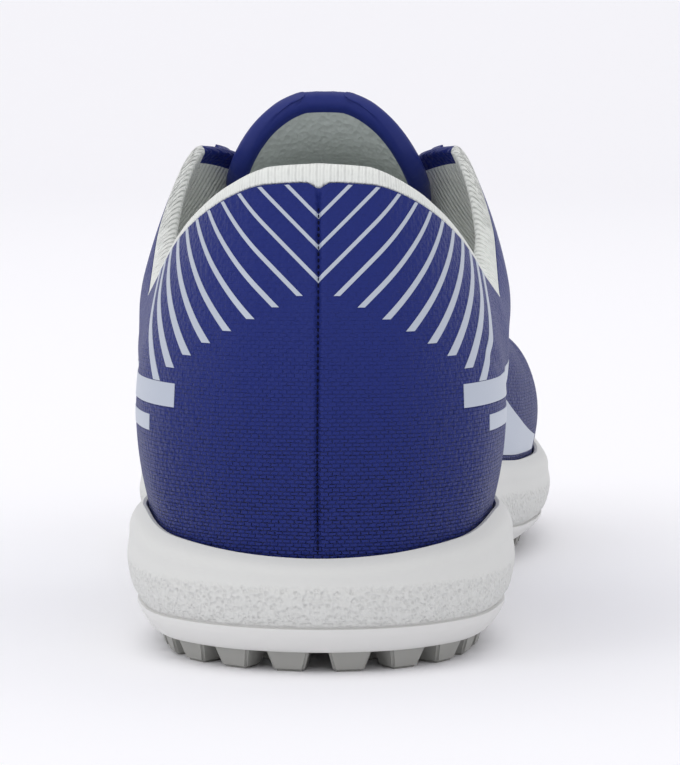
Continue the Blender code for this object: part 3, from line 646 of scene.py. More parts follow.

# %% [markdown]
# ## The rubber outsole and its studs
#
# The outsole is rubber from one mould: a thin plate with a side band, wedge-shaped studs
# along the rim and round ones between. A repeated part is best made once and copied to
# its places. Geometry Nodes does that from a cloud of points, each with its own turn, and
# bakes the copies into a real mesh beside the plate.


# %% Copy a template to many places
def scatter(name, template, places, turned, finish):
    """Copies of a template at places, turned by three angles each, baked into one piece."""
    cloud = bpy.data.meshes.new(name)
    cloud.from_pydata((np.asarray(places) + HEEL).tolist(), [], [])
    cloud.attributes.new("turned", "FLOAT_VECTOR", "POINT").data.foreach_set(
        "vector", np.asarray(turned, float).ravel()
    )
    holder = bpy.data.objects.new(name, cloud)
    scene.collection.objects.link(holder)
    tree = bpy.data.node_groups.new(name, "GeometryNodeTree")
    sockets = tree.interface
    sockets.new_socket("Points", in_out="INPUT", socket_type="NodeSocketGeometry")
    part_socket = sockets.new_socket("Template", in_out="INPUT", socket_type="NodeSocketObject")
    finish_socket = sockets.new_socket("Finish", in_out="INPUT", socket_type="NodeSocketMaterial")
    sockets.new_socket("Copies", in_out="OUTPUT", socket_type="NodeSocketGeometry")
    given = tree.nodes.new("NodeGroupInput")
    angles = add_node(tree, "GeometryNodeInputNamedAttribute", {"Name": "turned"}, data_type="FLOAT_VECTOR")
    shape = add_node(tree, "GeometryNodeObjectInfo", {"Object": given.outputs["Template"]})
    copies = add_node(
        tree,
        "GeometryNodeInstanceOnPoints",
        {
            "Points": given.outputs["Points"],
            "Instance": shape.outputs["Geometry"],
            "Rotation": angles.outputs["Attribute"],
        },
    )
    real = add_node(tree, "GeometryNodeRealizeInstances", {"Geometry": copies.outputs["Instances"]})
    painted = add_node(
        tree,
        "GeometryNodeSetMaterial",
        {"Geometry": real.outputs["Geometry"], "Material": given.outputs["Finish"]},
    )
    result = tree.nodes.new("NodeGroupOutput")
    tree.links.new(painted.outputs["Geometry"], result.inputs["Copies"])
    modifier = holder.modifiers.new(name, "NODES")
    modifier.node_group = tree
    modifier[part_socket.identifier] = template
    modifier[finish_socket.identifier] = finish
    graph = bpy.context.evaluated_depsgraph_get()
    baked = bpy.data.meshes.new_from_object(holder.evaluated_get(graph))
    holder.modifiers.clear()
    holder.data = baked
    bpy.data.objects.remove(template, do_unlink=True)
    baked.shade_smooth()
    baked.set_sharp_from_angle(angle=math.radians(40))
    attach(holder, "root")
    return holder


def tapered_template(name, corners, height, taper, rounding):
    """A stud standing on its foot at z = 0, with softened edges."""
    top = [(x, y, height) for x, y in corners]
    foot = [(x * taper, y * taper, 0.0) for x, y in corners]
    count = len(corners)
    sides = [(i, (i + 1) % count, (i + 1) % count + count, i + count) for i in range(count)]
    mesh = bpy.data.meshes.new(name)
    faces = sides + [tuple(range(count)), tuple(reversed(range(count, 2 * count)))]
    mesh.from_pydata(foot + top, [], faces)
    shape = bmesh.new()
    shape.from_mesh(mesh)
    bmesh.ops.recalc_face_normals(shape, faces=shape.faces)
    bmesh.ops.bevel(shape, geom=shape.edges[:], offset=rounding, segments=3, affect="EDGES")
    shape.to_mesh(mesh)
    shape.free()
    template = bpy.data.objects.new(name, mesh)
    scene.collection.objects.link(template)
    return template


def rim_places(inset, pitch):
    """Turns of evenly spaced places along the sole's inset outline."""
    fine = np.linspace(0.0, 2.0, 4001)
    path = inset_outline(fine, np.full(len(fine), inset))
    length = np.concatenate([[0.0], np.cumsum(np.linalg.norm(np.diff(path, axis=0), axis=1))])
    count = round(length[-1] / pitch)
    return np.interp((np.arange(count) + 0.5) * length[-1] / count, length, fine)


# %% The rubber, its plate and its studs
LUG_PITCH = 10.2 * MM
LUG_LENGTH = 9.0 * MM
LUG_DEPTH = 8.5 * MM
LUG_TAPER = 0.64
LUG_NARROWING = 0.72
LUG_INSET = 10.0 * MM
STUD_RADIUS = 4.6 * MM
STUD_PITCH = 16.5 * MM
STUD_MARGIN = 21.0 * MM
STUD_ROOT = 1.0 * MM
EDGE_ROUNDING = 0.5 * MM

rubber, tree, shader = new_material("moulded rubber", "DFDFDD", 0.55, Specular_IOR_Level=0.4)
rubber_grain = add_node(tree, "ShaderNodeTexNoise", {"Scale": 900.0, "Detail": 3.0})
bump(tree, shader, rubber_grain.outputs["Fac"], 0.03 * MM, 0.6)

lift, band_top = stud_lift(at), sole_height(2, at)
foot = lift + STUD_HEIGHT
# The studs are painted a darker grey than the band, as painted shade under the sole; the rubber itself is
# the same.
tread, _, _ = new_material("tread rubber painted darker as shade", "A2A29E", 0.7, Specular_IOR_Level=0.25)
band = band_top - GAP / 2 - foot
BAND_SHARES = (0.0, 0.0, 0.05, 0.15, 0.35, 0.6, 0.82, 0.95, 1.0)
BAND_INSETS = np.array([5.6, 4.9, 4.45, 4.0, 3.2, 2.45, 1.95, 2.0, 2.7]) * MM
band_rings = [sole_ring(at, inset, foot + share * band) for share, inset in zip(BAND_SHARES, BAND_INSETS)]
band_rings.append(sole_ring(at, BAND_INSETS[-1], band_top + GAP / 2))
plate = ring_piece("outsole_rubber", band_rings, rubber)

fine = np.linspace(0.0, 1.0, 401)
lift_y = inset_outline(fine, np.full(len(fine), BAND_FOOT_INSET))[:, 1]
lift_z = stud_lift(fine)

block = np.array([[-LUG_NARROWING, -1], [LUG_NARROWING, -1], [1, 1], [-1, 1]])
block = block * np.array([LUG_LENGTH, LUG_DEPTH]) / 2
lug = tapered_template("lug", block, STUD_HEIGHT + STUD_ROOT, LUG_TAPER, EDGE_ROUNDING)
lug_turns = rim_places(LUG_INSET, LUG_PITCH)
lug_plan = inset_outline(lug_turns, np.full(len(lug_turns), LUG_INSET))
lug_out = outward(outline, lug_turns)
lug_places = np.column_stack([lug_plan, np.interp(lug_plan[:, 1], lift_y, lift_z)])
lug_angles = np.arctan2(-lug_out[:, 0], lug_out[:, 1])
flat_turn = np.zeros((len(lug_angles), 2))
lugs = scatter("rim_studs", lug, lug_places, np.column_stack([flat_turn, lug_angles]), tread)

ring_angles = np.radians(np.arange(20) * 18.0)
peg_outline = np.stack([np.cos(ring_angles), np.sin(ring_angles)], -1) * STUD_RADIUS
peg = tapered_template("peg", peg_outline, STUD_HEIGHT + STUD_ROOT, LUG_TAPER, 0.4 * MM)
edge_path = inset_outline(np.linspace(0.0, 2.0, 801), np.full(801, STUD_MARGIN))
peg_places = []
rows = int(SOLE_LENGTH / STUD_PITCH)
for row in range(rows):
    y = (row + 0.5) * SOLE_LENGTH / rows
    outer_side, inner_side = edge_path[:401], edge_path[:399:-1]
    left = np.interp(y, np.sort(outer_side[:, 1]), outer_side[np.argsort(outer_side[:, 1]), 0])
    right = np.interp(y, np.sort(inner_side[:, 1]), inner_side[np.argsort(inner_side[:, 1]), 0])
    if right < left or not STUD_MARGIN <= y <= SOLE_LENGTH - STUD_MARGIN:
        continue
    count = int((right - left) / STUD_PITCH) + 1
    for place in range(count):
        x = (left + right) / 2 + (place - (count - 1) / 2) * STUD_PITCH
        peg_places.append((x, y, np.interp(y, lift_y, lift_z)))
pegs = scatter("round_studs", peg, peg_places, np.zeros((len(peg_places), 3)), tread)
for part in (plate, lugs, pegs):
    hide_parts("outsole")
print(len(lug_places), "studs along the rim and", len(peg_places), "round ones")

# %% [markdown]
# ## The synthetic of the upper
#
# The upper is a coated synthetic, embossed in rows like tiny bricks low on the heel and
# smoother and leathery towards the collar. The emboss is a bump map at its real pitch on the
# chart. A thin clear coat gives the pale gleam where the surface turns away from the eye.
# The lining is a knitted spacer mesh, matte, with fine ribs.

# %% The synthetic and the lining
WEAVE_ROW = 0.75
WEAVE_BRICK = 1.5


def add_synthetic(name, color):
    """Coated synthetic with a brick emboss that fades upwards into a leathery grain."""
    made, tree, shader = new_material(
        name, color, 0.46, Specular_IOR_Level=0.14, Sheen_Weight=0.04, Sheen_Roughness=0.4
    )
    place = add_node(tree, "ShaderNodeTexCoord").outputs["UV"]
    level = add_node(tree, "ShaderNodeSeparateXYZ", {"Vector": place}).outputs["Y"]
    weave = add_node(
        tree,
        "ShaderNodeTexBrick",
        {
            "Vector": place,
            "Color1": (1.0, 1.0, 1.0, 1.0),
            "Color2": (0.45, 0.45, 0.45, 1.0),
            "Mortar": (0.0, 0.0, 0.0, 1.0),
            "Scale": 1.0,
            "Mortar Size": 0.16,
            "Mortar Smooth": 1.0,
            "Brick Width": WEAVE_BRICK,
            "Row Height": WEAVE_ROW,
        },
    )
    weave_share = add_node(
        tree,
        "ShaderNodeMapRange",
        {"Value": level, "From Min": 12.0, "From Max": 62.0, "To Min": 1.0, "To Max": 0.25},
    )
    grain = add_node(tree, "ShaderNodeTexVoronoi", {"Vector": place, "Scale": 1.15}, feature="SMOOTH_F1")
    folds = add_node(tree, "ShaderNodeTexNoise", {"Vector": place, "Scale": 0.16, "Detail": 4.0})
    bump(tree, shader, weave.outputs["Color"], 0.60 * MM, weave_share.outputs["Result"])
    bump(tree, shader, grain.outputs["Distance"], 0.50 * MM, 0.7)
    bump(tree, shader, folds.outputs["Fac"], 0.9 * MM, 0.35)
    return made


def add_knit(name, color, rib):
    """A matte knit with ribs of a pitch in millimetres."""
    made, tree, shader = new_material(name, color, 0.95, Specular_IOR_Level=0.15, Sheen_Weight=0.25)
    place = add_node(tree, "ShaderNodeTexCoord").outputs["UV"]
    scale = math.pi / 10 / rib
    ribs = add_node(
        tree, "ShaderNodeTexWave", {"Vector": place, "Scale": scale, "Distortion": 0.6, "Detail": 2.0}
    )
    loops = add_node(tree, "ShaderNodeTexVoronoi", {"Vector": place, "Scale": 1.0 / rib})
    bump(tree, shader, ribs.outputs["Fac"], 0.35 * MM, 0.8)
    bump(tree, shader, loops.outputs["Distance"], 0.25 * MM, 0.6)
    return made


BLUE = "202C72"
synthetic = add_synthetic("coated synthetic", BLUE)
lining = add_knit("knitted lining", "E9ECE7", 1.3)
print("materials so far:", len(bpy.data.materials))

# %% [markdown]
# ## Relief of the upper
#
# A worn-in shape comes from soft troughs and ridges that are drawn one by one, and not from
# noise. The two quarters meet at the back in one pulled-in seam with a swelling at either
# side of it, the forefoot has the creases where it flexes, and a few short folds lie where
# the quarters are pulled round the heel.

# %% Troughs and ridges
SEAM_DEPTH = 0.55 * MM
SEAM_WIDTH = 0.42 * MM
SEAM_SWELL = 0.22 * MM
SEAM_SWELL_PLACE = 1.5 * MM
SEAM_SWELL_WIDTH = 1.2 * MM
# Flex creases: place along the sole, bow, depth and half width in millimetres.
FLEX_CREASES = ((196.0, 7.0, 0.55, 3.2), (207.0, 8.0, 0.80, 3.8), (219.0, 9.0, 0.60, 3.6))
# Short folds on the quarters: side (-1 outer, 1 inner), start and end along and up.
FOLDS = (
    (1, 62.0, 49.0, 80.0, 44.5, 0.45),
    (1, 30.0, 58.0, 46.0, 52.0, 0.30),
    (-1, 56.0, 45.0, 76.0, 41.0, 0.35),
)
FOLD_WIDTH = 1.6


def relief(at, share, face):
    """How far the skin stands off the last's face."""
    side = side_of(at)
    middle = wall_face(np.zeros_like(at), share)[..., 0]
    aside = np.abs(face[..., 0] - middle)
    near_back = 1 - ease(side, 0.02, 0.04)
    near_back = near_back * (1 - ease(share, 0.955, 0.99))
    swell = SEAM_SWELL * ridge(aside - SEAM_SWELL_PLACE, SEAM_SWELL_WIDTH)
    lift = near_back * (swell - SEAM_DEPTH * ridge(aside, SEAM_WIDTH))
    x, y, z = (face[..., axis] / MM for axis in range(3))
    from_axis = np.abs(x - axis_x(face[..., 1]) / MM)
    vamp = ease(side, 0.60, 0.70) * ease(share, 0.15, 0.50)
    for along, bow, depth, width in FLEX_CREASES:
        off = y - along + bow * (from_axis / 30.0) ** 2
        crease = ridge(off, width) - 0.55 * ridge(np.abs(off) - 1.9 * width, width)
        lift = lift - vamp * depth * MM * crease
    for hand, y0, z0, y1, z1, depth in FOLDS:
        run = np.array([y1 - y0, z1 - z0])
        long = np.linalg.norm(run)
        along = ((y - y0) * run[0] + (z - z0) * run[1]) / long
        off = ((z - z0) * run[0] - (y - y0) * run[1]) / long
        ends = ease(along, -6.0, 6.0) * (1 - ease(along, long - 6.0, long + 6.0))
        fold = ridge(off, FOLD_WIDTH) - 0.5 * ridge(off - 2.0 * FOLD_WIDTH, 1.3 * FOLD_WIDTH)
        lift = lift - (np.sign(x) == hand) * ends * depth * MM * fold
    return lift * ease(share, 0.0, 0.06)


def skin(at, share, rise=0.0):
    """A point of the upper's skin, or at a rise off it, and the direction out of it."""
    face, normal = wall_face(at, share), wall_normal(at, share)
    return face + normal * (relief(at, share, face) + rise)[..., None], normal


# %% [markdown]
# ## The upper
#
# The upper is one hollow wall: up the outer face, over a rolled rim and down the inside.
# Round the ankle it is padded, and there the white lining rolls over the rim and ends
# just under the cut edge of the synthetic. All this is one net, and the finish changes
# from row to row.

# %% Make the upper
UPPER_COLUMNS = 230
SEAM_FINE_TURNS = np.arange(1, 22) * 0.0006
BLUE_ROWS = 44
ROLL_ROWS = 6
INNER_ROWS = 26
RIM_STEPS = 9
ROLL = 0.5 * MM
ROLL_AHEAD = 0.3 * MM
SEAM_NOTCH = 1.1 * MM
CUT_EDGE = 0.45 * MM
FACING = 2.5 * MM


def wall_length(at):
    """Rough length of the wall from the foam's lip to the top edge."""
    return np.linalg.norm(wall_face(at, np.ones_like(at)) - wall_face(at, np.zeros_like(at)), axis=-1)


def edge_share(at):
    """Where the cut edge of the synthetic lies on the wall."""
    side = side_of(at)
    roll = ROLL_AHEAD + (ROLL - ROLL_AHEAD) * (1 - ease(side, CORNER_TURN - 0.07, CORNER_TURN))
    roll = roll + SEAM_NOTCH * ridge(side, 0.007)
    return 1 - roll / wall_length(at)


def wall_thickness(at, share):
    """The wall's thickness, which swells into the padded collar."""
    padded = (1 - ease(side_of(at), CORNER_TURN - 0.10, CORNER_TURN + 0.01)) * ease(share, 0.45, 0.90)
    return WALL + (COLLAR_PAD - WALL) * padded


at = turns(UPPER_COLUMNS, SEAM_FINE_TURNS)
side = side_of(at)
edge = edge_share(at)
bed = sole_height(4, at) + GAP
inset = np.full(len(at), LIP_WALL + GAP)
levels = [np.column_stack([inset_outline(at, inset), bed])]
for step in np.linspace(0.0, 1.0, BLUE_ROWS):
    levels.append(skin(at, edge * step)[0])
for step in np.linspace(0.0, 1.0, ROLL_ROWS):
    sunk = -CUT_EDGE * (1 - step) ** 2 * (side < CORNER_TURN)
    levels.append(skin(at, edge + (1 - edge) * step, sunk)[0])
blue_levels = 1 + BLUE_ROWS
top_share = np.ones(len(at))
normal_top = wall_normal(at, top_share)
outer_top = levels[-1]
inner_top = outer_top - normal_top * wall_thickness(at, top_share)[:, None]
beyond = unit(outer_top - levels[-2])
half = np.abs(topline(at)[1])
rounding = np.linalg.norm(outer_top - inner_top, axis=1) / 2
rounding = np.where(side > CORNER_TURN, np.minimum(rounding, half / 2), rounding)
for angle in np.linspace(0.0, math.pi, RIM_STEPS + 2)[1:-1]:
    swing = (outer_top - inner_top) / 2 * math.cos(angle)
    levels.append((outer_top + inner_top) / 2 + swing + beyond * (rounding * math.sin(angle))[:, None])
rim_first, rim_last = blue_levels + ROLL_ROWS - 1, blue_levels + ROLL_ROWS + RIM_STEPS
facing = np.clip(FACING / wall_length(at), 0.0, 0.4)
for step in np.linspace(0.0, 1.0, 5):
    share = 1 - facing * step
    levels.append(wall_face(at, share) - wall_normal(at, share) * wall_thickness(at, share)[:, None])
facing_last = len(levels) - 1
for step in np.linspace(0.0, 1.0, INNER_ROWS)[1:]:
    share = (1 - facing) * (1 - step)
    inward = wall_normal(at, share)
    if step == 1.0:
        inward = np.column_stack([outward(outline, at), np.zeros(len(at))])
    levels.append(wall_face(at, share) - inward * wall_thickness(at, share)[:, None])
levels.append(np.column_stack([inset_outline(at, inset + WALL), bed]))

grid = np.array(levels + levels[:1])
columns = len(at)
faces, corners = net(len(grid), columns, closed=True)
row, place = corners[:, 0, 0], corners[:, 0, 1]
middle_side = side_of((at[place] + np.append(at, 2.0)[place + 1]) / 2)
on_rim = (row >= rim_first) & (row < rim_last)
keep = ~(on_rim & (middle_side > VAMP_TURN))
blue = (row < blue_levels) | (middle_side > CORNER_TURN) & (row < facing_last)
last_row = len(levels)
faces = [[corner % (last_row * columns) for corner in face] for face, kept in zip(faces, keep) if kept]
upper = new_piece(
    "upper_shell",
    grid[:-1].reshape(-1, 3),
    faces,
    [synthetic, lining],
    chart_round(grid, corners)[keep],
    indices=np.where(blue, 0, 1)[keep],
    sharp=55,
)
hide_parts("upper")
print("upper faces:", len(upper.data.polygons))

# %% [markdown]
# ## A chart of the heel
#
# Printed lines are placed on a chart: how far round from the back seam, and how high above
# the floor. A designer draws them on the flat pattern of the quarter in the same way. To
# bring a drawn point onto the skin, the chart is worked out at many heights, and the turn
# and the share that belong to a distance and a height are read back out of it.

# %% From the chart to the skin
CHART_HEIGHTS = np.arange(16.0, 97.0, 0.5)
CHART_TURNS = np.linspace(0.0, 0.62, 420)
CHART_SHARES = np.linspace(0.0, 1.0, 90)


def make_chart(inner):
    """Shares and distances from the seam at each chart height and turn, on one side."""
    at = 2.0 - CHART_TURNS if inner else CHART_TURNS
    net_turns, net_shares = np.meshgrid(at, CHART_SHARES, indexing="ij")
    heights = wall_face(net_turns, net_shares)[..., 2] / MM
    shares = np.array([np.interp(CHART_HEIGHTS, column, CHART_SHARES) for column in heights]).T
    level_turns = np.broadcast_to(at, shares.shape)
    return shares, run_lengths(wall_face(level_turns, shares)) / MM


CHARTS = {inner: make_chart(inner) for inner in (False, True)}


def locate(inner, aside, height):
    """Turns and shares of points at a distance from the seam and a height, in millimetres."""
    shares, lengths = CHARTS[inner]
    aside, height = np.broadcast_arrays(aside, height)
    found = np.empty((2,) + aside.shape)
    for spot in np.ndindex(aside.shape):
        level = np.clip((height[spot] - CHART_HEIGHTS[0]) / 0.5, 0, len(CHART_HEIGHTS) - 2)
        row, part = int(level), level - int(level)
        length = lengths[row] * (1 - part) + lengths[row + 1] * part
        turn = np.interp(aside[spot], length, CHART_TURNS)
        share = shares[row] * (1 - part) + shares[row + 1] * part
        found[(0,) + spot] = 2.0 - turn if inner else turn
        found[(1,) + spot] = np.interp(turn, CHART_TURNS, share)
    return found[0], found[1]


# %% [markdown]
# ## The printed stripes
#
# Eleven thin silver lines rise from the back seam to the collar on each side. The three
# upper ones meet on the seam as chevrons, the others start free, further and further round,
# and every line is a little wider than the one above. A print is a film of ink or foil: a
# thin slab that follows the skin and sinks into it by its lower face.

# %% Print the stripes
silver, tree, shader = new_material("silver print", "B9C1CE", 0.42, Metallic=0.35)
flecks = add_node(tree, "ShaderNodeTexNoise", {"Scale": 1500.0, "Detail": 2.0})
bump(tree, shader, flecks.outputs["Fac"], 0.02 * MM, 0.5)

STRIPES = 11
CHEVRONS = 3
STRIPE_TOP = 84.4
STRIPE_STEP = 5.5
STRIPE_STEP_GROWTH = 0.16
STRIPE_WIDTH = 0.65
STRIPE_WIDTH_GROWTH = 0.02
FREE_END_HEIGHT = 71.5
FREE_END_FALL = 0.47
FILM_RISE = 0.10 * MM
FILM_ROOT = 0.25 * MM
ACROSS = 4


def film_piece(name, turns_net, shares_net, finish):
    """A thin film on the skin over a net of turns and shares."""
    face, normal = skin(turns_net, shares_net, FILM_RISE)
    back = face - normal * (FILM_RISE + FILM_ROOT)
    lengths = run_lengths(face) / MM
    rise = np.cumsum(np.linalg.norm(np.diff(face, axis=0, prepend=face[:1]), axis=-1), axis=0) / MM
    piece = shell_piece(name, face, back, [finish], np.stack([lengths, rise], -1), sharp=50)
    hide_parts("upper")
    return piece


def stripe_net(number, inner):
    """A net along one stripe, from its lower end to the collar's cut edge."""
    offset = STRIPE_TOP - STRIPE_STEP * number - STRIPE_STEP_GROWTH * number**2
    reach = (STRIPE_WIDTH + STRIPE_WIDTH_GROWTH * number**2) / math.sqrt(2)
    start = 0.0 if number < CHEVRONS else (FREE_END_HEIGHT - offset) / (1 + FREE_END_FALL)
    low = offset + start
    turn_rows, share_rows = [], []
    for step in np.linspace(-1.0, 1.0, ACROSS):
        line = offset + reach * step
        first = 0.0 if number < CHEVRONS else low - line
        trial = np.arange(first, first + 60.0, 0.4)
        turn, share = locate(inner, trial, line + trial)
        beyond = np.flatnonzero(share >= edge_share(turn) - 0.004)
        last = trial[beyond[0]] if len(beyond) else trial[-1]
        along = np.linspace(first, last, 60)
        turn, share = locate(inner, along, line + along)
        turn_rows.append(turn)
        share_rows.append(np.minimum(share, edge_share(turn) - 0.003))
    return np.array(turn_rows), np.array(share_rows)


for inner in (False, True):
    for number in range(STRIPES):
        label = f"stripe_{'inner' if inner else 'outer'}_{number}"
        film_piece(label, *stripe_net(number, inner), silver)
print(2 * STRIPES, "stripes printed")

# %% [markdown]
# ## Bars and a wedge on the sides
#
# The last stripe runs down into a bar that goes forward round the quarter, with a shorter
# bar below it. Further forward a pale wedge lies low on the side, tall at the waist and
# down to a point at the ball. They are plain shapes on the same chart, in the same silver.

# %% Print the bars and the wedge
# Each bar: start and end from the seam, bottom and top, and the slant of its front end.
BARS = ((31.5, 96.0, 48.4, 52.8, 7.0), (42.5, 84.0, 43.3, 46.3, 5.0))
WEDGE_TURNS = (0.480, 0.690)
WEDGE_LOW = 0.015
WEDGE_HIGH = (0.28, 0.06)


def bar_net(inner, start, end, bottom, top, slant):
    step, along = np.meshgrid(np.linspace(0.0, 1.0, 6), np.linspace(0.0, 1.0, 90), indexing="ij")
    aside = start + (end + slant * step - start) * along
    return locate(inner, aside, bottom + (top - bottom) * step)


def wedge_net(inner):
    step, along = np.meshgrid(np.linspace(0.0, 1.0, 14), np.linspace(0.0, 1.0, 80), indexing="ij")
    side = WEDGE_TURNS[0] + (WEDGE_TURNS[1] - WEDGE_TURNS[0]) * along - 0.035 * (1 - along) * (1 - step)
    high = WEDGE_HIGH[0] + (WEDGE_HIGH[1] - WEDGE_HIGH[0]) * ease(along, -0.2, 1.1)
    share = WEDGE_LOW + (high - WEDGE_LOW) * step
    return (2.0 - side if inner else side), share


for inner in (False, True):
    label = "inner" if inner else "outer"
    for number, bar in enumerate(BARS):
        film_piece(f"bar_{label}_{number}", *bar_net(inner, *bar), silver)
    film_piece(f"wedge_{label}", *wedge_net(inner), silver)
print("bars start", BARS[0][0], "mm from the seam")

# %% [markdown]
# ## The needle holes of the back seam
#
# The seam is sewn from the inside and turned, so that only the pulled holes of the needle
# show as dark dots at the bottom of its groove. Each is a tiny dark bead, copied up the
# seam by the same Geometry Nodes tree as the studs.

# %% Sew the back seam
HOLE_PITCH = 1.15
HOLE_RADIUS = 0.26 * MM
dark, _, _ = new_material("shadowed needle hole", "10112E", 0.9, Specular_IOR_Level=0.1)


def bead_template(name, radius, scale):
    """A small rounded bead, stretched along its own axes."""
    mesh = bpy.data.meshes.new(name)
    shape = bmesh.new()
    bmesh.ops.create_icosphere(shape, subdivisions=2, radius=radius)
    bmesh.ops.scale(shape, vec=scale, verts=shape.verts)
    shape.to_mesh(mesh)
    shape.free()
    template = bpy.data.objects.new(name, mesh)
    scene.collection.objects.link(template)
    return template


heights = np.arange(23.5, 86.0, HOLE_PITCH)
hole_turn, hole_share = locate(False, np.zeros(len(heights)), heights)
hole_places, _ = skin(hole_turn, hole_share, 0.05 * MM)
bead = bead_template("bead", HOLE_RADIUS, (1.0, 0.7, 1.5))
holes = scatter("seam_holes", bead, hole_places, np.zeros((len(heights), 3)), dark)
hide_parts("upper")
print(len(heights), "needle holes")

# %% [markdown]
# ## The eyestay
#
# A second layer of the synthetic is stitched round the throat as one U, to hold the lace
# holes. It lies a little above the skin, with a rounded edge, and carries a row of stitches
# near its border. Its shape is read off the same wall, so it fits without a gap.

# %% Cut and stitch the eyestay
EYESTAY_START = 0.50
EYESTAY_NOSE = 0.030
NARROWS_FROM = 0.70
NOSE_TIP = 0.6 * MM
EYESTAY_WIDTH = 13.5 * MM
EYESTAY_LIFT = 0.7 * MM
EYESTAY_THICKNESS = 0.8 * MM
EYESTAY_ROWS = 14
EYESTAY_COLUMNS = 110
EYESTAY_ROUNDING = 0.4 * MM
EYESTAY_SINK = 0.1 * MM
STITCH_PITCH = 3.0 * MM
STITCH_INSET = 1.7 * MM
STITCH_RADIUS = 0.3 * MM


def border_shares(sides, margin=0.0):
    """Shares of the eyestay's border, or of a line a margin inside it, an even way from the throat."""
    edge_sides = np.linspace(EYESTAY_START - 0.03, VAMP_TURN, 160)
    top = np.ones(len(edge_sides))
    throat = np.concatenate([wall_face(2.0 - edge_sides, top), wall_face(edge_sides, top)])
    nose = wall_face(np.array([VAMP_TURN + EYESTAY_NOSE]), np.ones(1))[0]
    ahead = np.linalg.norm(nose - throat[-1])
    reach = EYESTAY_WIDTH + (ahead - EYESTAY_WIDTH) * ease(sides, NARROWS_FROM, VAMP_TURN) - margin
    trial = np.linspace(1.0, 0.5, 100)
    found = []
    for side, wanted in zip(sides, reach):
        spots = wall_face(np.full(len(trial), side), trial)
        away = np.linalg.norm(spots[:, None] - throat, axis=-1).min(axis=-1)
        found.append(np.interp(wanted, away, trial))
    return np.minimum(found, 1 - NOSE_TIP / wall_length(sides))


def eyestay_half(inner):
    """The net of one half of the eyestay, face and back."""
    line = np.linspace(EYESTAY_START, VAMP_TURN + EYESTAY_NOSE, EYESTAY_COLUMNS)
    at, step = np.meshgrid(line, np.linspace(0.0, 1.0, EYESTAY_ROWS), indexing="xy")
    low = border_shares(line)
    share = low + (1 - low) * step
    turned = 2.0 - at if inner else at
    rounding = EYESTAY_ROUNDING * ease(0.12 - step, 0.0, 0.12)
    thick = EYESTAY_LIFT + EYESTAY_THICKNESS - rounding
    stay = 1 - ease(at, VAMP_TURN - 0.002, VAMP_TURN + 0.002) * (step > 1 - 1e-6)
    face, normal = wall_face(turned, share), wall_normal(turned, share)
    top = face + normal * thick[..., None]
    return top, face - normal * (EYESTAY_SINK * stay)[..., None], share, at


for inner in (False, True):
    top, back, share, at = eyestay_half(inner)
    chart = np.stack([run_lengths(top) / MM, share * wall_length(at) / MM], -1)
    name = "eyestay_inner" if inner else "eyestay_outer"
    half_piece = shell_piece(name, top, back, [synthetic], chart, sharp=60)
    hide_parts("eyestay")

thread, _, _ = new_material("polyester thread", "2C3680", 0.75, Specular_IOR_Level=0.2)
stitch_places, stitch_angles = [], []
for inner in (False, True):
    line = np.linspace(EYESTAY_START + 0.004, VAMP_TURN + 0.8 * EYESTAY_NOSE, 200)
    share = border_shares(line, STITCH_INSET)
    turned = 2.0 - line if inner else line
    rail = wall_face(turned, share) + wall_normal(turned, share) * (EYESTAY_LIFT + EYESTAY_THICKNESS)
    run = np.concatenate([[0.0], np.cumsum(np.linalg.norm(np.diff(rail, axis=0), axis=1))])
    spots = np.arange(STITCH_PITCH / 2, run[-1], STITCH_PITCH)
    place = np.stack([np.interp(spots, run, rail[:, axis]) for axis in range(3)], -1)
    ahead = np.stack([np.interp(spots + 1e-4, run, rail[:, axis]) for axis in range(3)], -1) - place
    pitch_angle = -np.arctan2(ahead[:, 2], np.hypot(ahead[:, 0], ahead[:, 1]))
    stitch_places.append(place)
    stitch_angles.append(np.stack([0 * pitch_angle, pitch_angle, np.arctan2(ahead[:, 1], ahead[:, 0])], -1))
stitches = scatter(
    "eyestay_stitches",
    bead_template("stitch", STITCH_RADIUS, (3.4, 1.0, 0.9)),
    np.concatenate(stitch_places),
    np.concatenate(stitch_angles),
    thread,
)
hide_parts("eyestay")
print(len(stitches.data.polygons), "faces of stitches")

# %% [markdown]
# ## The tongue
#
# The tongue is a soft padded plate under the laces. It widens from under the vamp, bends a
# little forward of the ankle and ends in a round top. Its face is the blue synthetic, which
# rolls over the edge and frames the mesh on the side of the foot. One net makes it: rows
# along the tongue, and in each row a loop round its face, its edges and its back. A value on
# every point says how near the edge it is, and the finish changes there.

# %% Pad the tongue
TONGUE_THICKNESS = 4.2 * MM
TONGUE_HALF_WIDTH = 22.5 * MM
TONGUE_STAND = 16.0 * MM
TONGUE_CLEARANCE = 0.6 * MM
TONGUE_ROUNDING = 0.96
TONGUE_TURN = 38.0
TONGUE_RADIUS = 0.82 * CROWN_RADIUS
TONGUE_LINING = "B9C1BE"
TONGUE_ROWS = 90
TONGUE_ACROSS = 40
RIM_WIDTH = 3.0 * MM
RIM_SWELL = 0.5 * MM


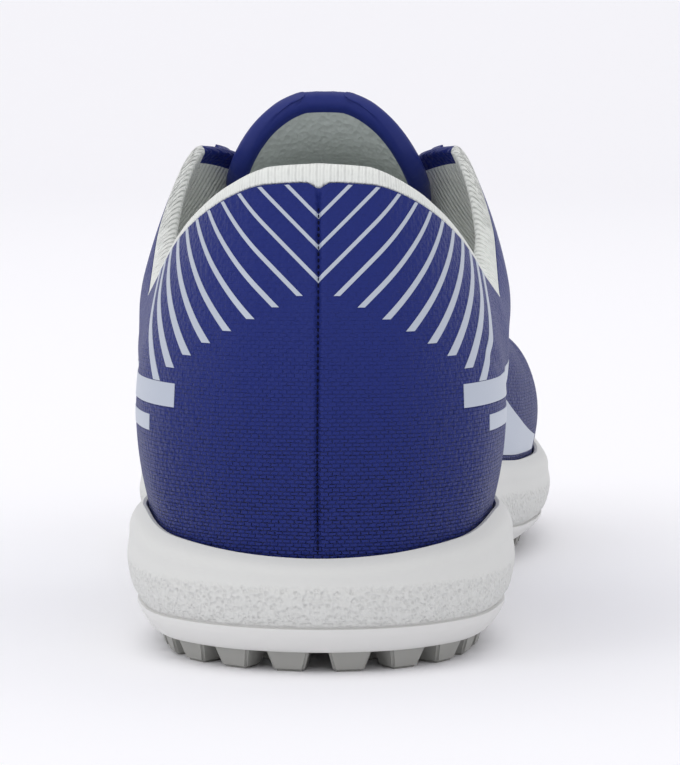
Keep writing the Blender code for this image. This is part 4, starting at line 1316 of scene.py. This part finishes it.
def tongue_line():
    """The tongue's middle line from under the vamp to its free top, and its half widths."""
    inside = np.linspace(VAMP_TURN + 0.035, CORNER_TURN + 0.03, 60)
    edge, half = topline(inside)
    crown = np.stack([axis_x(edge[:, 1]), edge[:, 1], edge[:, 2] + half**2 / (2 * CROWN_RADIUS)], -1)
    slope = crest_slope(inside)
    out = unit(np.stack([np.zeros_like(slope), -slope, np.ones_like(slope)], -1))
    line = crown - out * (WALL + GAP + TONGUE_CLEARANCE)
    direction = unit(line[-1] - line[-6])
    tilt = math.atan2(direction[2], -direction[1])
    angles = tilt + np.radians(TONGUE_TURN) * np.linspace(0.0, 1.0, 40)
    moves = np.stack([np.zeros(40), -np.cos(angles), np.sin(angles)], -1) * TONGUE_STAND / 40
    line = np.concatenate([line, line[-1] + np.cumsum(moves, axis=0)])
    length = np.concatenate([[0.0], np.cumsum(np.linalg.norm(np.diff(line, axis=0), axis=1))])
    even = 1 - (1 - np.linspace(0.0, 1.0, TONGUE_ROWS)) ** 1.6
    even_line = np.stack([np.interp(even * length[-1], length, line[:, axis]) for axis in range(3)], -1)
    half = TONGUE_HALF_WIDTH * (0.50 + 0.50 * ease(even, 0.0, 0.35))
    past = np.clip((even - 0.80) / 0.20, 0.0, 1.0)
    return even_line, half * np.sqrt(1 - TONGUE_ROUNDING * past**2.2), even * length[-1]


line, half, along = tongue_line()
run = unit(np.gradient(line, axis=0))
out = unit(np.stack([np.zeros(len(line)), run[:, 2], -run[:, 1]], -1))
spread = np.sin(np.linspace(-0.5, 0.5, TONGUE_ACROSS) * math.pi)
flat_places = np.stack([along[:, None] + 0 * spread, half[:, None] * spread], -1)
sides = [np.stack([along, hand * half], -1) for hand in (1, -1)]
top_side = np.stack([along[-1] + 0 * spread, half[-1] * spread], -1)
border = np.concatenate([*sides, top_side])
to_edge = np.linalg.norm(flat_places[:, :, None] - border, axis=-1).min(axis=-1)
edge_depth = np.clip(to_edge / (TONGUE_THICKNESS / 2), 0.0, 1.0)
puff = np.sqrt(edge_depth * (2 - edge_depth))
roll = ridge(to_edge - RIM_WIDTH / 2, RIM_WIDTH / 2.2) * RIM_SWELL
angle = np.arcsin(np.clip(half / TONGUE_RADIUS, 0.0, 0.95))[:, None] * spread
mid_depth = TONGUE_THICKNESS / 2
across = np.array([1.0, 0.0, 0.0])


def tongue_sheet(depth):
    """A net parallel to the tongue's face at a depth below it."""
    radius = TONGUE_RADIUS - depth
    drop = TONGUE_RADIUS - radius * np.cos(angle)
    return line[:, None] - out[:, None] * drop[..., None] + across * (radius * np.sin(angle))[..., None]


face = tongue_sheet(mid_depth - puff * mid_depth)
back = tongue_sheet(mid_depth + puff * mid_depth + roll * (puff > 0.01))
to_rim = np.concatenate([np.full(to_edge.size, -1.0), (to_edge - RIM_WIDTH).ravel() / MM])

tongue_finish, tree, shader = new_material(
    "tongue, synthetic over mesh", BLUE, 0.5, Specular_IOR_Level=0.2
)
kept = add_node(tree, "ShaderNodeAttribute", attribute_name="past_rim")
share = add_node(
    tree, "ShaderNodeMapRange", {"Value": kept.outputs["Fac"], "From Min": -0.08, "From Max": 0.08}
).outputs["Result"]
tint = add_node(tree, "ShaderNodeMix", {"Factor": share}, data_type="RGBA")
tint.inputs["A"].default_value = linear(BLUE)
tint.inputs["B"].default_value = linear(TONGUE_LINING)
tree.links.new(tint.outputs["Result"], shader.inputs["Base Color"])
rough = add_node(tree, "ShaderNodeMapRange", {"Value": share, "To Min": 0.45, "To Max": 0.95})
tree.links.new(rough.outputs["Result"], shader.inputs["Roughness"])
place = add_node(tree, "ShaderNodeTexCoord").outputs["UV"]
mesh_cells = add_node(tree, "ShaderNodeTexVoronoi", {"Vector": place, "Scale": 0.8})
leather = add_node(tree, "ShaderNodeTexVoronoi", {"Vector": place, "Scale": 1.1}, feature="SMOOTH_F1")
bump(tree, shader, mesh_cells.outputs["Distance"], 0.35 * MM, share)
bump(tree, shader, leather.outputs["Distance"], 0.12 * MM, 0.6)

chart = flat_places / MM
tongue = shell_piece(
    "tongue_pad", face, back, [tongue_finish], chart, sharp=80, values={"past_rim": to_rim}
)
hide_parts("tongue")
print("tongue width, mm:", round(2 * half.max() / MM, 1))

# %% [markdown]
# ## The insole
#
# A thin foam sock covered with knit lies on the foam's floor inside the upper. Only a strip
# of it shows through the collar, so a low slab with a rounded edge is enough.

# %% Lay the insole
INSOLE_THICKNESS = 3.0 * MM

sock_knit = add_knit("insole knit over foam", "C9CDC9", 1.0)
at = turns(SOLE_COLUMNS)
bed = sole_height(4, at) + GAP
inset = LIP_WALL + GAP + WALL + GAP
SOCK_LEVELS = ((0.0, 0.0), (0.0, 0.70), (0.04, 0.86), (0.16, 0.96), (0.40, 1.0))
sock_rings = [
    sole_ring(at, inset + aside * INSOLE_THICKNESS, bed + up * INSOLE_THICKNESS)
    for aside, up in SOCK_LEVELS
]
insole = ring_piece("insole_sock", sock_rings, sock_knit)
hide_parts("insole")
print("insole faces:", len(insole.data.polygons))

# %% [markdown]
# ## The lace
#
# A flat polyester lace crosses the throat in six pairs of punched holes. The photograph
# hides it, so it is laced plainly and its ends stop at the top pair. Each run is a flat
# tube from one hole to the next over the crown of the throat, and at each end it narrows
# and dives into its hole.

# %% Run the lace through its holes
LACE_WIDTH = 6.2 * MM
LACE_THICKNESS = 1.6 * MM
LACE_LIFT = 1.2 * MM
LACE_OVERRUN = 1.2 * MM
LACE_DEPTH = 1.5 * MM
LACE_ROUND = 14.0
EYELET_PAIRS = 6
EYELET_FIRST = 0.535
EYELET_LAST = 0.725
EYELET_INSET = 6.5 * MM
EYELET_RADIUS = 2.4 * MM
ARC_OVER_CHORD = 1.12
LACE_SIDES = 16
LACE_STEPS = 64

lace_finish, tree, shader = new_material("woven polyester lace", "D9DADA", 0.85, Sheen_Weight=0.2)
place = add_node(tree, "ShaderNodeTexCoord").outputs["UV"]
braid_sizes = {"Scale": 1.0, "Brick Width": 0.9, "Row Height": 0.45}
braid_gaps = {"Mortar Size": 0.12, "Mortar Smooth": 1.0}
braid = add_node(tree, "ShaderNodeTexBrick", {"Vector": place, **braid_sizes, **braid_gaps})
bump(tree, shader, braid.outputs["Color"], 0.12 * MM, 0.8)


def eyelet(pair, inner):
    """The place of one lace hole on the eyestay's face, and the direction out of it."""
    side = EYELET_FIRST + (EYELET_LAST - EYELET_FIRST) * pair / (EYELET_PAIRS - 1)
    at = np.array([2.0 - side if inner else side])
    share = 1 - EYELET_INSET / (wall_length(at) * ARC_OVER_CHORD)
    return wall_face(at, share)[0], wall_normal(at, share)[0]


def lace_run(start, start_out, end, end_out, over):
    """The net of one flat run between two holes, lying over or under the other runs."""
    lift = GAP + EYESTAY_THICKNESS + LACE_LIFT + LACE_THICKNESS * (0.5 + 0.2 * over)
    middle_out = unit(start_out + end_out)
    run = unit(end - start)
    start, end = start - run * LACE_OVERRUN, end + run * LACE_OVERRUN
    rise = (np.linalg.norm(end - start) / 2) ** 2 / (2 * CROWN_RADIUS)
    rows, lengths = [], []
    angles = np.linspace(0.0, 2 * math.pi, LACE_SIDES + 1)[:-1]
    for share in np.linspace(0.0, 1.0, LACE_STEPS):
        to_end = min(share, 1 - share)
        dive = 1 - ease(to_end, 0.0, 0.06)
        lean = start_out * (1 - share) + end_out * share
        up = unit(lean + middle_out * 4 * share * (1 - share))
        height = lift * (1 - dive) - LACE_DEPTH * dive
        center = start + (end - start) * share + up * height + middle_out * rise * 4 * share * (1 - share)
        wide = unit(np.cross(up, run))
        width = LACE_WIDTH * (1 - 0.42 * dive) / 2
        flat = np.sign(np.cos(angles)) * np.abs(np.cos(angles)) ** 0.6 * width
        tall = np.sign(np.sin(angles)) * np.abs(np.sin(angles)) ** 0.8 * LACE_THICKNESS / 2
        rows.append(center + np.outer(flat, wide) + np.outer(tall, up))
        lengths.append(share * np.linalg.norm(end - start) / MM)
    return np.array(rows), np.array(lengths)


pairs = [(eyelet(EYELET_PAIRS - 1, False), eyelet(EYELET_PAIRS - 1, True), -1)]
for pair in range(EYELET_PAIRS - 1):
    for inner in (False, True):
        pairs.append((eyelet(pair, inner), eyelet(pair + 1, not inner), int(inner)))
points, faces, places = [], [], []
for start, end, over in pairs:
    grid, lengths = lace_run(*start, *end, over)
    quads, corners = net(LACE_STEPS, LACE_SIDES, closed=True, first=len(points))
    around_lace = np.linspace(0.0, LACE_ROUND, LACE_SIDES + 1)
    chart = np.stack(np.meshgrid(lengths, around_lace, indexing="ij"), -1)
    places.append(chart[corners[..., 0], corners[..., 1]].reshape(-1, 2))
    ends = [list(range(LACE_SIDES)), list(range((LACE_STEPS - 1) * LACE_SIDES, LACE_STEPS * LACE_SIDES))]
    quads += [[len(points) + corner for corner in one] for one in ends]
    places.append(np.zeros((2 * LACE_SIDES, 2)))
    faces += quads
    points += grid.reshape(-1, 3).tolist()
laces = new_piece("lace", points, faces, [lace_finish], np.concatenate(places), sharp=60)
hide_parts("laces")
print(len(pairs), "runs of lace")

# %% [markdown]
# ## The lace holes
#
# Each hole is punched through both layers and bound by a pressed ring of the same
# synthetic. A thin ring with a floor painted dark, as painted shade inside the hole, copied
# to the twelve places, shows that from any side that sees the throat.

# %% Punch the lace holes
RING_SIDES = 24
RING_ROUND = 8
RING_THICKNESS = 0.55 * MM


def ring_template(name, radius, thickness):
    """A flat pressed ring, lying in its own plane."""
    mesh = bpy.data.meshes.new(name)
    points = []
    for a in np.arange(RING_SIDES) * 2 * math.pi / RING_SIDES:
        for b in np.arange(RING_ROUND) * 2 * math.pi / RING_ROUND:
            reach = radius + thickness * math.cos(b)
            points.append((reach * math.cos(a), reach * math.sin(a), 0.6 * thickness * math.sin(b)))
    faces = []
    for i in range(RING_SIDES):
        here, there = i * RING_ROUND, (i + 1) % RING_SIDES * RING_ROUND
        for j in range(RING_ROUND):
            after = (j + 1) % RING_ROUND
            faces.append((here + j, there + j, there + after, here + after))
    mesh.from_pydata(points, [], faces)
    template = bpy.data.objects.new(name, mesh)
    scene.collection.objects.link(template)
    return template


hole_spots, hole_turns = [], []
for pair in range(EYELET_PAIRS):
    for inner in (False, True):
        spot, up = eyelet(pair, inner)
        hole_spots.append(spot + up * (EYESTAY_LIFT + EYESTAY_THICKNESS))
        hole_turns.append(Vector(up).to_track_quat("Z", "Y").to_euler())
ring = ring_template("ring", EYELET_RADIUS, RING_THICKNESS)
# The floor is a flat disc in the dark material: painted shade in the depth of the hole.
floor = bead_template("floor", EYELET_RADIUS, (0.95, 0.95, 0.08))
rings = scatter("eyelet_rings", ring, hole_spots, hole_turns, synthetic)
hole_shade_discs = scatter("eyelet_holes", floor, hole_spots, hole_turns, dark)
for part in (rings, hole_shade_discs):
    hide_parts("eyestay")
print(len(hole_spots), "lace holes")

# %% [markdown]
# ## Finish
#
# The size of the dressed shoe is measured and printed.

# %% Measure and finish
dressed_bounds = [list(corner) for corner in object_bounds()]
size = (np.array(dressed_bounds[1]) - dressed_bounds[0]) / MM
print("dressed size, mm:", size.round(1))
